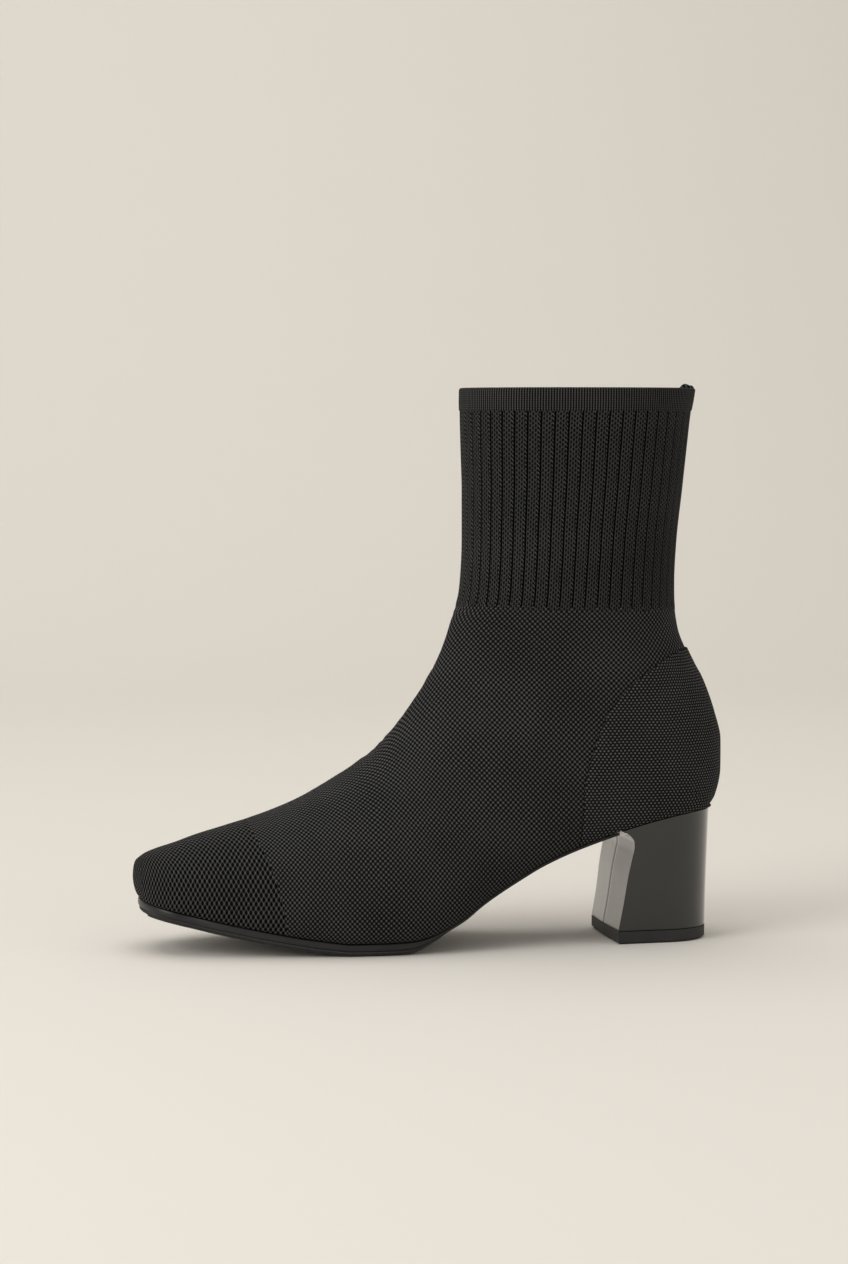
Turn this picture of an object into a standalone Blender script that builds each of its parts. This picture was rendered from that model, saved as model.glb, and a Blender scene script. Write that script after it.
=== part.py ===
"""A knitted pull-on boot with a ribbed shaft, a thin moulded sole and a block heel: the left one.

Metres, +Z up. The toe points along -X and the outer side of the foot along -Y. The origin is the
middle of the top lift's face on the floor. Tables give places along the boot as shares of its
length from the toe tip, and heights and widths as shares of the size that their comment names.
"""
import math
from bisect import bisect_right
from collections import namedtuple

import bmesh
import bpy
from mathutils import Vector

# Driving sizes
LENGTH = 0.246             # toe tip to the back of the heel
COLLAR_HEIGHT = 0.2292     # floor to the top of the band
SEAT_HEIGHT = 0.0552       # floor to the underside of the upper at the heel
TOE_SPRING = 0.0165        # lift of the sole at the toe tip
BALL_WIDTH = 0.0736        # the sole across the ball
SHAFT_DEPTH = 0.0985       # the shaft at the collar, front to back
SHAFT_WIDTH = 0.0745       # the shaft at the collar, side to side
WALL = 0.0018              # knit with its lining
LASTING_MARGIN = 0.010     # knit turned in under the foot
BAND_HEIGHT = 0.0095       # folded band at the collar
BAND_STEP = 0.0004         # band proud of the ribs
RIB_COUNT = 48
RIB_DEPTH = 0.0006
COUNTER_STEP = 0.0005      # heel patch proud of the wall
SOLE_THICKNESS = 0.0054    # outsole at the forefoot
WAIST_THICKNESS = 0.0015   # outsole under the arch
SOLE_GROOVE = 0.0005       # lower strip of the sole's side, set in from the upper one
SOLE_CHAMFER = 0.0012      # rounded lower edge of the sole
INSOLE_THICKNESS = 0.0022
HEEL_BASE_LENGTH = 0.042   # heel block at the lift, breast to back
HEEL_BASE_WIDTH = 0.046
HEEL_SETBACK = 0.0065      # back of the heel block, in from the back of the boot
BREAST_RIDGE = 0.0008      # middle of the heel's breast, proud of its edges
LIFT_THICKNESS = 0.0052
LIFT_CHAMFER = 0.0008
CLEARANCE = 0.0003         # between two pieces that touch

# Sizes that follow
RISE = COLLAR_HEIGHT - SEAT_HEIGHT
HEEL_CENTRE = LENGTH - HEEL_SETBACK - HEEL_BASE_LENGTH / 2
TOE_ROUND = 0.065 * LENGTH
HEEL_ROUND = 0.098 * LENGTH
TOE_TIP = 0.001 * LENGTH          # where the upper starts
FEATHER_TIP = 0.009 * LENGTH      # where the sole starts, under the toe
FEATHER_REAR = 0.9785 * LENGTH    # where the seat ends, under the heel
TREAD_START = 0.3415 * LENGTH     # the tread is level from here to where ARCH starts
SOLE_THINS = (0.430 * LENGTH, 0.515 * LENGTH)
BREAST_AT = LENGTH - HEEL_SETBACK - HEEL_BASE_LENGTH

HALF_COLUMNS = 24          # faces from the underside to the ridge, on each side
OPEN_COLUMN = 2            # column on the edge of the lasting margin
FEATHER_COLUMN = 4         # column on the feather line
FIRST_OPEN, LAST_OPEN = 5, 24     # sections that bound the opening under the foot
TOE_CURVE = 2.3            # squareness of the toe and heel ends, 2 is an ellipse
OFF_SOLE = 0.01            # a section with more lift than this starts off the sole

# The sole's outline: middle and half width as shares of BALL_WIDTH.
Plan = namedtuple("Plan", "along middle half")
PLAN = (
    Plan(0.000, 0.052, 0.279), Plan(0.065, 0.041, 0.300), Plan(0.122, 0.041, 0.366),
    Plan(0.183, 0.048, 0.421), Plan(0.244, 0.057, 0.466), Plan(0.293, 0.061, 0.490),
    Plan(0.346, 0.050, 0.500), Plan(0.398, 0.029, 0.488), Plan(0.455, 0.000, 0.448),
    Plan(0.528, -0.027, 0.382), Plan(0.610, -0.034, 0.333), Plan(0.691, -0.030, 0.324),
    Plan(0.772, -0.020, 0.346), Plan(0.833, -0.007, 0.370), Plan(0.886, 0.000, 0.380),
    Plan(1.000, 0.000, 0.374),
)

# The feather line behind the tread: its rise as a share of what lies between tread and seat.
Arch = namedtuple("Arch", "along rise")
ARCH = (
    Arch(0.400, 0.000), Arch(0.443, 0.006), Arch(0.480, 0.044), Arch(0.500, 0.086),
    Arch(0.5325, 0.170), Arch(0.565, 0.288), Arch(0.600, 0.398), Arch(0.634, 0.497),
    Arch(0.669, 0.592), Arch(0.736, 0.734), Arch(0.821, 0.874), Arch(0.874, 0.943),
    Arch(0.911, 0.980), Arch(0.950, 1.000), Arch(1.000, 1.000),
)

# One row for each section of the foot, fanned from the toe round the heel. under and over are
# where it meets the sole or the back, and the ridge. lift and top are its two ends above the
# feather line, as shares of RISE. half and ridge are shares of BALL_WIDTH: the half width of the
# upper and the sideways place of the ridge. widest is how far up the section is widest, crown and
# foot how square it is above and below that, where 2 is an ellipse.
Section = namedtuple("Section", "under lift over top half ridge widest crown foot", defaults=(2.0,))
FOOT = (
    Section(0.0022, 0.022, 0.0022, 0.074, 0.293, 0.052, 0.45, 2.2),
    Section(0.0055, 0.009, 0.0055, 0.086, 0.296, 0.052, 0.45, 2.2),
    Section(0.0115, 0.001, 0.0115, 0.095, 0.299, 0.050, 0.43, 2.2),
    Section(0.0225, 0.000, 0.0225, 0.108, 0.305, 0.048, 0.41, 2.2),
    Section(0.041, 0.000, 0.041, 0.124, 0.319, 0.045, 0.39, 2.2),
    Section(0.070, 0.000, 0.069, 0.1455, 0.350, 0.043, 0.37, 2.15),
    Section(0.110, 0.000, 0.109, 0.178, 0.394, 0.043, 0.35, 2.1),
    Section(0.163, 0.000, 0.162, 0.215, 0.448, 0.049, 0.33, 2.1),
    Section(0.224, 0.000, 0.223, 0.258, 0.505, 0.058, 0.31, 2.05),
    Section(0.284, 0.000, 0.280, 0.304, 0.546, 0.066, 0.29, 2.05),
    Section(0.3415, 0.000, 0.330, 0.353, 0.565, 0.068, 0.28, 2.0),
    Section(0.395, 0.000, 0.368, 0.386, 0.560, 0.067, 0.27, 2.0),
    Section(0.440, 0.000, 0.393, 0.41, 0.537, 0.063, 0.26, 2.0),
    Section(0.476, 0.000, 0.407, 0.4165, 0.512, 0.058, 0.25, 2.0),
    Section(0.510, 0.000, 0.417, 0.412, 0.489, 0.053, 0.24, 1.95),
    Section(0.550, 0.000, 0.425, 0.3885, 0.467, 0.048, 0.235, 1.95),
    Section(0.598, 0.000, 0.436, 0.361, 0.443, 0.042, 0.23, 1.95),
    Section(0.650, 0.000, 0.447, 0.3385, 0.427, 0.035, 0.225, 1.95),
    Section(0.699, 0.000, 0.457, 0.324, 0.421, 0.028, 0.22, 1.95),
    Section(0.7315, 0.000, 0.465, 0.322, 0.422, 0.023, 0.22, 1.95),
    Section(0.750, 0.000, 0.470, 0.3230, 0.423, 0.021, 0.22, 1.95),
    Section(0.772, 0.000, 0.476, 0.3247, 0.425, 0.018, 0.22, 1.95),
    Section(0.818, 0.000, 0.487, 0.328, 0.430, 0.012, 0.22, 1.95),
    Section(0.863, 0.000, 0.497, 0.3374, 0.433, 0.008, 0.22, 1.95),
    Section(0.9065, 0.000, 0.504, 0.34, 0.435, 0.004, 0.22, 2.0),
    Section(0.943, 0.000, 0.510, 0.351, 0.433, 0.002, 0.225, 2.0, 2.05),
    Section(0.9675, 0.000, 0.515, 0.366, 0.430, 0.000, 0.24, 2.0, 2.05),
    Section(0.9785, 0.002, 0.519, 0.379, 0.428, 0.000, 0.25, 2.0, 2.3),
    Section(0.9885, 0.029, 0.523, 0.394, 0.425, 0.000, 0.27, 2.0, 2.3),
    Section(0.998, 0.086, 0.528, 0.413, 0.421, 0.000, 0.32, 2.0, 2.25),
    Section(0.999, 0.155, 0.532, 0.431, 0.418, 0.000, 0.36, 2.0, 2.2),
    Section(0.988, 0.226, 0.5365, 0.4505, 0.419, 0.000, 0.40, 2.0, 2.15),
    Section(0.9675, 0.305, 0.540, 0.4625, 0.421, 0.000, 0.43, 2.0, 2.1),
    Section(0.9545, 0.340, 0.5415, 0.469, 0.424, 0.000, 0.45, 2.05),
    Section(0.9440, 0.3695, 0.543, 0.474, 0.428, 0.000, 0.46, 2.05),
    Section(0.929, 0.420, 0.5445, 0.480, 0.434, 0.000, 0.48, 2.05),
)

# One row for each section of the shaft: back and front from the shaft's axis as shares of
# SHAFT_DEPTH, their heights above the seat as shares of RISE, half as a share of SHAFT_WIDTH.
ShaftSection = namedtuple("ShaftSection", "back back_up front front_up half")
SHAFT_AXIS = 0.753 * LENGTH
SHAFT = (
    ShaftSection(0.418, 0.472, -0.517, 0.487, 0.435),
    ShaftSection(0.413, 0.500, -0.507, 0.508, 0.440),
    ShaftSection(0.412, 0.548, -0.4985, 0.548, 0.444),
    ShaftSection(0.420, 0.638, -0.491, 0.638, 0.452),
    ShaftSection(0.443, 0.758, -0.491, 0.758, 0.467),
    ShaftSection(0.460, 0.850, -0.4955, 0.850, 0.481),
)
COLLAR = ShaftSection(0.4965, 1.0, -0.4995, 1.0, 0.4935)
BAND_FOOT = ShaftSection(0.479, 1.0, -0.4995, 1.0, 0.4935)   # its height comes from BAND_HEIGHT
SHAFT_ROUND = 2.1
SHAFT_WIDEST = 0.49

# The heel patch's seam in side view: along the boot, and up from the seat as a share of RISE.
Seam = namedtuple("Seam", "along up")
COUNTER_SEAM = (
    Seam(0.7315, -0.080), Seam(0.7365, 0.060), Seam(0.7465, 0.120), Seam(0.7635, 0.190),
    Seam(0.777, 0.232), Seam(0.798, 0.273), Seam(0.828, 0.315), Seam(0.866, 0.350),
    Seam(0.893, 0.368), Seam(0.911, 0.376), Seam(0.9425, 0.380),
)
SEAM_FOOT, SEAM_TOP = 19, 34      # FOOT sections where the patch starts and ends
TOP_COLUMN = 5                    # columns of its level top edge, from the back seam

# The heel's breast: up the block, and back from its foot as a share of HEEL_BASE_LENGTH.
Breast = namedtuple("Breast", "up back")
BREAST = (
    Breast(0.00, 0.000), Breast(0.27, 0.050), Breast(0.53, 0.090), Breast(0.71, 0.128),
    Breast(0.79, 0.145), Breast(0.85, 0.142), Breast(0.91, 0.112), Breast(0.96, 0.065),
    Breast(1.00, 0.012),
)

# One section in metres: both its ends, the middle of its foot and the place of its ridge
# sideways, the half width on the sole and of the upper, and its shape.
Row = namedtuple("Row", "under over middle ridge feather half widest foot crown")


def clear_scene():
    for item in list(bpy.data.objects):
        bpy.data.objects.remove(item, do_unlink=True)


def mix(a, b, share):
    return a + (b - a) * share


def smoothstep(value, start, end):
    share = min(max((value - start) / (end - start), 0.0), 1.0)
    return share * share * (3.0 - 2.0 * share)


def read_off(table, key, column, at):
    """The value of a column where key is at, on a smooth curve that never overshoots its rows."""
    xs = [getattr(row, key) for row in table]
    ys = [getattr(row, column) for row in table]
    at = min(max(at, xs[0]), xs[-1])
    i = min(max(bisect_right(xs, at) - 1, 0), len(xs) - 2)
    steps = [(ys[j + 1] - ys[j]) / (xs[j + 1] - xs[j]) for j in range(len(xs) - 1)]

    def slope(j):
        if j == 0 or j == len(xs) - 1:
            return steps[min(j, len(steps) - 1)]
        before, after = steps[j - 1], steps[j]
        return 2 * before * after / (before + after) if before * after > 0 else 0.0

    width = xs[i + 1] - xs[i]
    t = (at - xs[i]) / width
    return (ys[i] * (1 + 2 * t) * (1 - t) ** 2 + slope(i) * width * t * (1 - t) ** 2
            + ys[i + 1] * t * t * (3 - 2 * t) - slope(i + 1) * width * t * t * (1 - t))


def at_x(along):
    """World X of a place measured from the toe tip."""
    return along - HEEL_CENTRE


def feather_height(along):
    """Height of the upper's underside, the feather line, over the floor."""
    ahead = max(TREAD_START - along, 0.0) / TREAD_START
    rise = read_off(ARCH, "along", "rise", along / LENGTH)
    return SOLE_THICKNESS + TOE_SPRING * ahead ** 1.25 + (SEAT_HEIGHT - SOLE_THICKNESS) * rise


def layer_height(along, distance):
    """Height of a surface that lies this far above the feather line, measured square to it."""
    step = 0.002 * LENGTH
    slope = (feather_height(along + step) - feather_height(along - step)) / (2 * step)
    return feather_height(along) + distance * math.sqrt(1 + slope * slope)


def end_round(along, tip, rear):
    """From 0 at either end of an outline to 1 along its body."""
    share = 1.0
    for distance, length in ((along - tip, TOE_ROUND), (rear - along, HEEL_ROUND)):
        left = 1 - min(max(distance / length, 0.0), 1.0)
        share *= (1 - left ** TOE_CURVE) ** (1 / TOE_CURVE)
    return share


def sole_half(along, inset=0.0):
    """Half the sole's width, with its outline drawn in by inset all round."""
    body = BALL_WIDTH * read_off(PLAN, "along", "half", along / LENGTH) - inset
    return body * end_round(along, FEATHER_TIP + inset, FEATHER_REAR - inset)


def sole_middle(along):
    return BALL_WIDTH * read_off(PLAN, "along", "middle", along / LENGTH)


def foot_row(section):
    under, over = section.under * LENGTH, section.over * LENGTH
    base = feather_height(under)
    half = section.half * BALL_WIDTH * end_round(min(under, LENGTH / 2), TOE_TIP, LENGTH)
    flat = min(sole_half(under), 0.95 * half) if section.lift < OFF_SOLE else 0.0
    return Row((under, base + section.lift * RISE), (over, base + section.top * RISE),
               sole_middle(under), section.ridge * BALL_WIDTH,
               flat, half, section.widest, section.foot, section.crown)


def shaft_row(section, height=None):
    back_up = SEAT_HEIGHT + section.back_up * RISE if height is None else height
    front_up = SEAT_HEIGHT + section.front_up * RISE if height is None else height
    return Row((SHAFT_AXIS + section.back * SHAFT_DEPTH, back_up),
               (SHAFT_AXIS + section.front * SHAFT_DEPTH, front_up),
               0.0, 0.0, 0.0, section.half * SHAFT_WIDTH, SHAFT_WIDEST, SHAFT_ROUND, SHAFT_ROUND)


def half_section(row, samples=28):
    """Half a section, from the middle of its foot to its ridge: how far out and how far up."""
    length = math.dist(row.under, row.over)
    low = row.widest * length
    points = [(row.feather * i / 4, 0.0) for i in range(4)]
    for i in range(samples):
        turn = math.pi / 2 * i / samples
        points.append((row.feather + (row.half - row.feather) * math.sin(turn) ** (2 / row.foot),
                       low * (1 - math.cos(turn) ** (2 / row.foot))))
    for i in range(samples + 1):
        turn = math.pi / 2 * i / samples
        points.append((row.half * max(math.cos(turn), 0.0) ** (2 / row.crown),
                       low + (length - low) * math.sin(turn) ** (2 / row.crown)))
    return points


class Walk:
    """A polyline that is read by the distance walked along it."""

    def __init__(self, points):
        self.points = points
        self.marks = [0.0]
        for a, b in zip(points, points[1:]):
            self.marks.append(self.marks[-1] + math.dist(a, b))
        self.length = self.marks[-1]

    def at(self, distance):
        distance = min(max(distance, 0.0), self.length)
        i = min(bisect_right(self.marks, distance) - 1, len(self.points) - 2)
        span = self.marks[i + 1] - self.marks[i]
        share = (distance - self.marks[i]) / span if span else 0.0
        a, b = self.points[i], self.points[i + 1]
        return mix(a[0], b[0], share), mix(a[1], b[1], share)


def place(row, out, up, side):
    """A point of a section in the world, on the inner side (+1) or the outer side (-1)."""
    share = up / math.dist(row.under, row.over)
    x = at_x(mix(row.under[0], row.over[0], share))
    z = mix(row.under[1], row.over[1], share)
    return Vector((x, mix(row.middle, row.ridge, share * share) + side * out, z))


def seam_distance(row, walk):
    """How far round a section the heel patch's seam crosses it."""
    for step in range(1, 201):
        distance = walk.length * step / 200
        point = place(row, *walk.at(distance), -1)
        up = (point.z - SEAT_HEIGHT) / RISE
        seam = COUNTER_SEAM[-1].along if up >= COUNTER_SEAM[-1].up else read_off(
            COUNTER_SEAM, "up", "along", up)
        if (point.x + HEEL_CENTRE) / LENGTH < seam:
            return distance
    return walk.length


def to_feather(row, walk):
    """How far round a section the feather line is, or its column where there is no flat foot."""
    return row.feather or walk.length * FEATHER_COLUMN / HALF_COLUMNS


def columns_of(row, walk, seam_column=None, seam=0.0):
    """Distances round a section at which its columns stand, from underside to ridge."""
    feather = to_feather(row, walk)
    margin = max(feather - LASTING_MARGIN, feather / 2)
    knots = [(0, 0.0), (OPEN_COLUMN, margin), (FEATHER_COLUMN, feather)]
    if seam_column:
        knots = [knot for knot in knots if knot[0] < seam_column and knot[1] < 0.9 * seam]
        knots.append((seam_column, seam))
    knots.append((HALF_COLUMNS, walk.length))
    distances = []
    for (k0, d0), (k1, d1) in zip(knots, knots[1:]):
        distances += [mix(d0, d1, (k - k0) / (k1 - k0)) for k in range(k0, k1)]
    return distances + [walk.length]


def full_ring(row, distances, walk):
    """A closed ring: underside, up the outer side to the ridge, and down the inner side."""
    outer = [place(row, *walk.at(d), -1) for d in distances]
    inner = [place(row, *walk.at(d), 1) for d in distances[1:-1]]
    return outer + inner[::-1]


def outward(rings, tip, i, k):
    """The direction out of the wall at a ring's point, from its neighbours."""
    count = len(rings[i])
    before = rings[i - 1][k] if i else tip
    after = rings[min(i + 1, len(rings) - 1)][k]
    round_it = rings[i][(k + 1) % count] - rings[i][k - 1]
    return (after - before).cross(round_it).normalized()


def face(bm, *corners):
    """A face over the corners that are left once neighbours that are the same are dropped."""
    kept = [v for v, w in zip(corners, corners[1:] + corners[:1]) if v is not w]
    return bm.faces.new(kept) if len(kept) > 2 else None


def lace(bm, lower, upper):
    """Faces between two chains of vertices, whatever their two counts."""
    if len(lower) == len(upper):
        pairs = zip(lower, lower[1:], upper[1:], upper)
        return [f for f in (face(bm, *corners) for corners in pairs) if f]
    faces = []
    i = j = 0
    while i < len(lower) - 1 or j < len(upper) - 1:
        ahead_low = (i + 0.5) / max(len(lower) - 1, 1)
        ahead_up = (j + 0.5) / max(len(upper) - 1, 1)
        if j == len(upper) - 1 or (i < len(lower) - 1 and ahead_low <= ahead_up):
            faces.append(face(bm, lower[i], lower[i + 1], upper[j]))
            i += 1
        else:
            faces.append(face(bm, lower[i], upper[j + 1], upper[j]))
            j += 1
    return faces


def halves(ring):
    """The two chains of a closed ring, each from the underside to the ridge."""
    middle = len(ring) // 2
    return ring[:middle + 1], [ring[0]] + ring[:middle - 1:-1]


def lace_rings(bm, lower, upper):
    return [f for a, b in zip(halves(lower), halves(upper)) for f in lace(bm, a, b)]


def vertices(bm, points):
    return [bm.verts.new(p) for p in points]


def new_object(name, bm, material, sharp_degrees=35):
    bmesh.ops.triangulate(bm, faces=[f for f in bm.faces if len(f.verts) > 3])
    bmesh.ops.recalc_face_normals(bm, faces=bm.faces)
    mesh = bpy.data.meshes.new(name)
    bm.to_mesh(mesh)
    bm.free()
    mesh.shade_smooth()
    mesh.set_sharp_from_angle(angle=math.radians(sharp_degrees))
    mesh.materials.append(material)
    item = bpy.data.objects.new(name, mesh)
    bpy.context.scene.collection.objects.link(item)
    return item


def principled(name, colour, roughness, metallic=0.0):
    material = bpy.data.materials.new(name)
    material.use_nodes = True
    shader = material.node_tree.nodes["Principled BSDF"]
    shader.inputs["Base Color"].default_value = (*colour, 1.0)
    shader.inputs["Roughness"].default_value = roughness
    shader.inputs["Metallic"].default_value = metallic
    return material


def rib_ring(row, walk, deep, proud=0.0):
    """A ring with three points to each rib: one in the groove and two on the crest."""
    points = []
    half = RIB_COUNT // 2
    for rib in range(RIB_COUNT):
        for place_in_rib, sunk in ((0.0, deep), (0.2, 0.0), (0.8, 0.0)):
            turn = (rib + place_in_rib) / half
            side = -1 if turn <= 1 else 1
            distance = walk.length * (turn if turn <= 1 else 2 - turn)
            here = place(row, *walk.at(distance), side)
            ahead = place(row, *walk.at(distance + 0.01 * walk.length), side)
            behind = place(row, *walk.at(distance - 0.01 * walk.length), side)
            along = (ahead - behind) * -side
            out = along.cross(Vector((0, 0, 1))).normalized()
            if out.dot(here - place(row, 0.0, math.dist(row.under, row.over) / 2, 1)) < 0:
                out.negate()
            points.append(here + out * (proud - sunk))
    return points


def pushed(ring, distance):
    """A level ring moved out of the wall by distance, or into it."""
    count = len(ring)
    points = []
    for k in range(count):
        out = (ring[(k + 1) % count] - ring[k - 1]).cross(Vector((0, 0, 1))).normalized()
        middle = (ring[0] + ring[count // 2]) / 2
        if out.dot(ring[k] - middle) < 0:
            out.negate()
        points.append(ring[k] + out * distance)
    return points


def foot_rings():
    """Every ring of the foot, and for each the column on which the patch's seam stands."""
    rings, seams = [], []
    for index, section in enumerate(FOOT):
        row = foot_row(section)
        walk = Walk(half_section(row))
        column, seam = None, 0.0
        if index == SEAM_FOOT:
            column, seam = FEATHER_COLUMN, row.feather
        elif SEAM_FOOT < index < SEAM_TOP:
            seam = seam_distance(row, walk)
            feather = to_feather(row, walk)
            share = (seam - feather) / (walk.length - feather)
            column = FEATHER_COLUMN + max(round(share * (HALF_COLUMNS - FEATHER_COLUMN)), 1)
        rings.append(full_ring(row, columns_of(row, walk, column, seam), walk))
        seams.append(TOP_COLUMN if index == SEAM_TOP else column)
    return rings, seams


def raise_patch(bm, faces):
    """Lift the heel patch out of the wall, less where it runs down to the feather line."""
    bmesh.ops.recalc_face_normals(bm, faces=bm.faces)
    lifted = bmesh.ops.extrude_face_region(bm, geom=faces)["geom"]
    bmesh.ops.delete(bm, geom=faces, context="FACES_ONLY")
    top = [item for item in lifted if isinstance(item, bmesh.types.BMVert)]
    top_faces = {item for item in lifted if isinstance(item, bmesh.types.BMFace)}
    moves = []
    for vertex in top:
        out = Vector((0, 0, 0))
        for f in vertex.link_faces:
            if f in top_faces:
                out += f.normal * f.calc_area()
        along = vertex.co.x + HEEL_CENTRE
        above = vertex.co.z - feather_height(min(along, FEATHER_REAR))
        moves.append((vertex, out.normalized() * COUNTER_STEP * mix(0.3, 1.0, smoothstep(
            above, 0.02 * RISE, 0.08 * RISE))))
    for vertex, move in moves:
        vertex.co += move


def make_upper(material):
    bm = bmesh.new()
    first = foot_row(FOOT[0])
    tip = Vector((at_x(TOE_TIP), first.ridge, mix(first.under[1], first.over[1], 0.45)))
    rings, seams = foot_rings()
    shaft = [shaft_row(section) for section in SHAFT]
    shaft_walks = [Walk(half_section(row)) for row in shaft]
    plain = [full_ring(row, columns_of(row, walk), walk) for row, walk in zip(shaft, shaft_walks)]
    band_row = shaft_row(BAND_FOOT, COLLAR_HEIGHT - BAND_HEIGHT)
    collar_row = shaft_row(COLLAR)
    band = []
    for row in (band_row, collar_row):
        walk = Walk(half_section(row))
        band.append(full_ring(row, columns_of(row, walk), walk))
    smooth = rings + plain + band

    # The outer face of the foot, with the patch's faces put by
    outer = [vertices(bm, ring) for ring in rings]
    point = bm.verts.new(tip)
    for k in range(len(outer[0])):
        face(bm, point, outer[0][k], outer[0][(k + 1) % len(outer[0])])
    patch = []
    for i, (lower, upper) in enumerate(zip(outer, outer[1:])):
        for a, b in zip(halves(lower), halves(upper)):
            if SEAM_FOOT <= i < SEAM_TOP:
                ka, kb = seams[i], seams[i + 1]
                start_a = start_b = FEATHER_COLUMN
                if FOOT[i].lift > 0:
                    start_a = start_b = 0
                lace(bm, a[ka:], b[kb:])
                patch += lace(bm, a[start_a:ka + 1], b[start_b:kb + 1])
                a, b = a[:start_a + 1], b[:start_b + 1]
            start = OPEN_COLUMN if FIRST_OPEN <= i < LAST_OPEN else 0
            lace(bm, a[start:], b[start:])

    # The ribbed shaft, laced on to the foot below and to the band above
    ribbed = []
    for i, (row, walk) in enumerate(zip(shaft, shaft_walks)):
        ribbed.append(vertices(bm, rib_ring(row, walk, RIB_DEPTH if i else 0.0)))
    band_walk = Walk(half_section(band_row))
    ribbed.append(vertices(bm, rib_ring(band_row, band_walk, RIB_DEPTH)))
    lace_rings(bm, outer[-1], ribbed[0])
    for lower, upper in zip(ribbed, ribbed[1:]):
        lace_rings(bm, lower, upper)
    edge = Vector((0, 0, 0.0009))
    band_rings = [pushed(band[0], BAND_STEP), pushed(band[1], BAND_STEP)]
    band_rings[1] = [p - edge for p in band_rings[1]]
    band_rings.append(pushed(band[1], BAND_STEP - WALL / 4))
    rim = [vertices(bm, ring) for ring in band_rings]
    lace_rings(bm, ribbed[-1], rim[0])
    lace_rings(bm, rim[0], rim[1])
    lace_rings(bm, rim[1], rim[2])

    # The inner face, a wall's thickness in, with every second column
    inner = []
    for i, ring in enumerate(smooth[:-1]):
        picks = range(0, len(ring), 2)
        if i < len(rings):
            points = [ring[k] - outward(smooth, tip, i, k) * WALL for k in picks]
        else:
            points = [pushed(ring, -WALL)[k] for k in picks]
        inner.append(vertices(bm, points))
    lip = pushed(band[1], -0.75 * WALL)
    low_lip = [p - edge for p in pushed(band[1], -WALL)]
    inner.append(vertices(bm, low_lip[::2]))
    inner.append(vertices(bm, lip[::2]))
    inner_point = bm.verts.new(tip + Vector((WALL, 0, 0)))
    for k in range(len(inner[0])):
        face(bm, inner_point, inner[0][(k + 1) % len(inner[0])], inner[0][k])
    for i, (lower, upper) in enumerate(zip(inner, inner[1:])):
        start = OPEN_COLUMN // 2 if FIRST_OPEN <= i < LAST_OPEN else 0
        for a, b in zip(halves(lower), halves(upper)):
            lace(bm, a[start:], b[start:])
    lace_rings(bm, rim[2], inner[-1])

    # The rim of the opening under the foot
    for i in range(FIRST_OPEN, LAST_OPEN):
        for a, b in zip(zip(halves(outer[i]), halves(inner[i])),
                        zip(halves(outer[i + 1]), halves(inner[i + 1]))):
            lace(bm, [a[0][OPEN_COLUMN], b[0][OPEN_COLUMN]],
                 [a[1][OPEN_COLUMN // 2], b[1][OPEN_COLUMN // 2]])
    for i in (FIRST_OPEN, LAST_OPEN):
        for a, b in zip(halves(outer[i]), halves(inner[i])):
            lace(bm, a[:OPEN_COLUMN + 1], b[:OPEN_COLUMN // 2 + 1])
    raise_patch(bm, patch)
    return new_object("upper", bm, material)


def outline(stations, inset, height):
    """Both sides of the sole's outline at these places, drawn in by inset, and their heights."""
    sides = ([], [])
    for along in stations:
        shift = inset * (1 - min((along - FEATHER_TIP) / TOE_ROUND, 1.0))
        x = along + shift
        half = sole_half(x, inset)
        for side, points in zip((-1, 1), sides):
            points.append(Vector((at_x(x), sole_middle(x) + side * half, height(x))))
    return sides


def sole_stations(start, end):
    """Places along the sole, on the sections of the upper and half way where it bends most."""
    along = [section.under * LENGTH for section in FOOT if section.lift == 0.0]
    along += [mix(a, b, 0.5) for a, b in zip(along, along[1:]) if 0.42 < a / LENGTH < 0.56]
    return sorted([start, end] + [x for x in along if start + 0.0005 < x < end - 0.002])


def sole_bottom(along):
    thickness = mix(SOLE_THICKNESS, WAIST_THICKNESS, smoothstep(along, *SOLE_THINS))
    return layer_height(along, -thickness)


def make_outsole(material):
    """Rings of the sole's side from its top edge to its tread, closed across by strips."""
    lip = BREAST_AT + BREAST[-1].back * HEEL_BASE_LENGTH - BREAST_RIDGE
    stations = sole_stations(FEATHER_TIP + 0.0002, lip - CLEARANCE)
    bm = bmesh.new()

    def height(share):
        return lambda along: mix(layer_height(along, -CLEARANCE), sole_bottom(along), share)

    def lower_edge(along):
        deep = layer_height(along, 0.0) - sole_bottom(along)
        return sole_bottom(along) + min(SOLE_CHAMFER, 0.3 * deep)

    layers = [(0.0, height(0.0)), (0.0, height(0.50)), (SOLE_GROOVE, height(0.56)),
              (SOLE_GROOVE, lower_edge), (SOLE_GROOVE + SOLE_CHAMFER, sole_bottom)]
    sides = [[vertices(bm, points) for points in outline(stations, inset, z)]
             for inset, z in layers]
    for upper, lower in zip(sides, sides[1:]):
        for a, b in zip(upper, lower):
            lace(bm, a, b)
        for end in (0, -1):
            face(bm, upper[0][end], upper[1][end], lower[1][end], lower[0][end])
    for left, right in (sides[0], sides[-1]):
        lace(bm, left, right)
    return new_object("outsole", bm, material)


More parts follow.
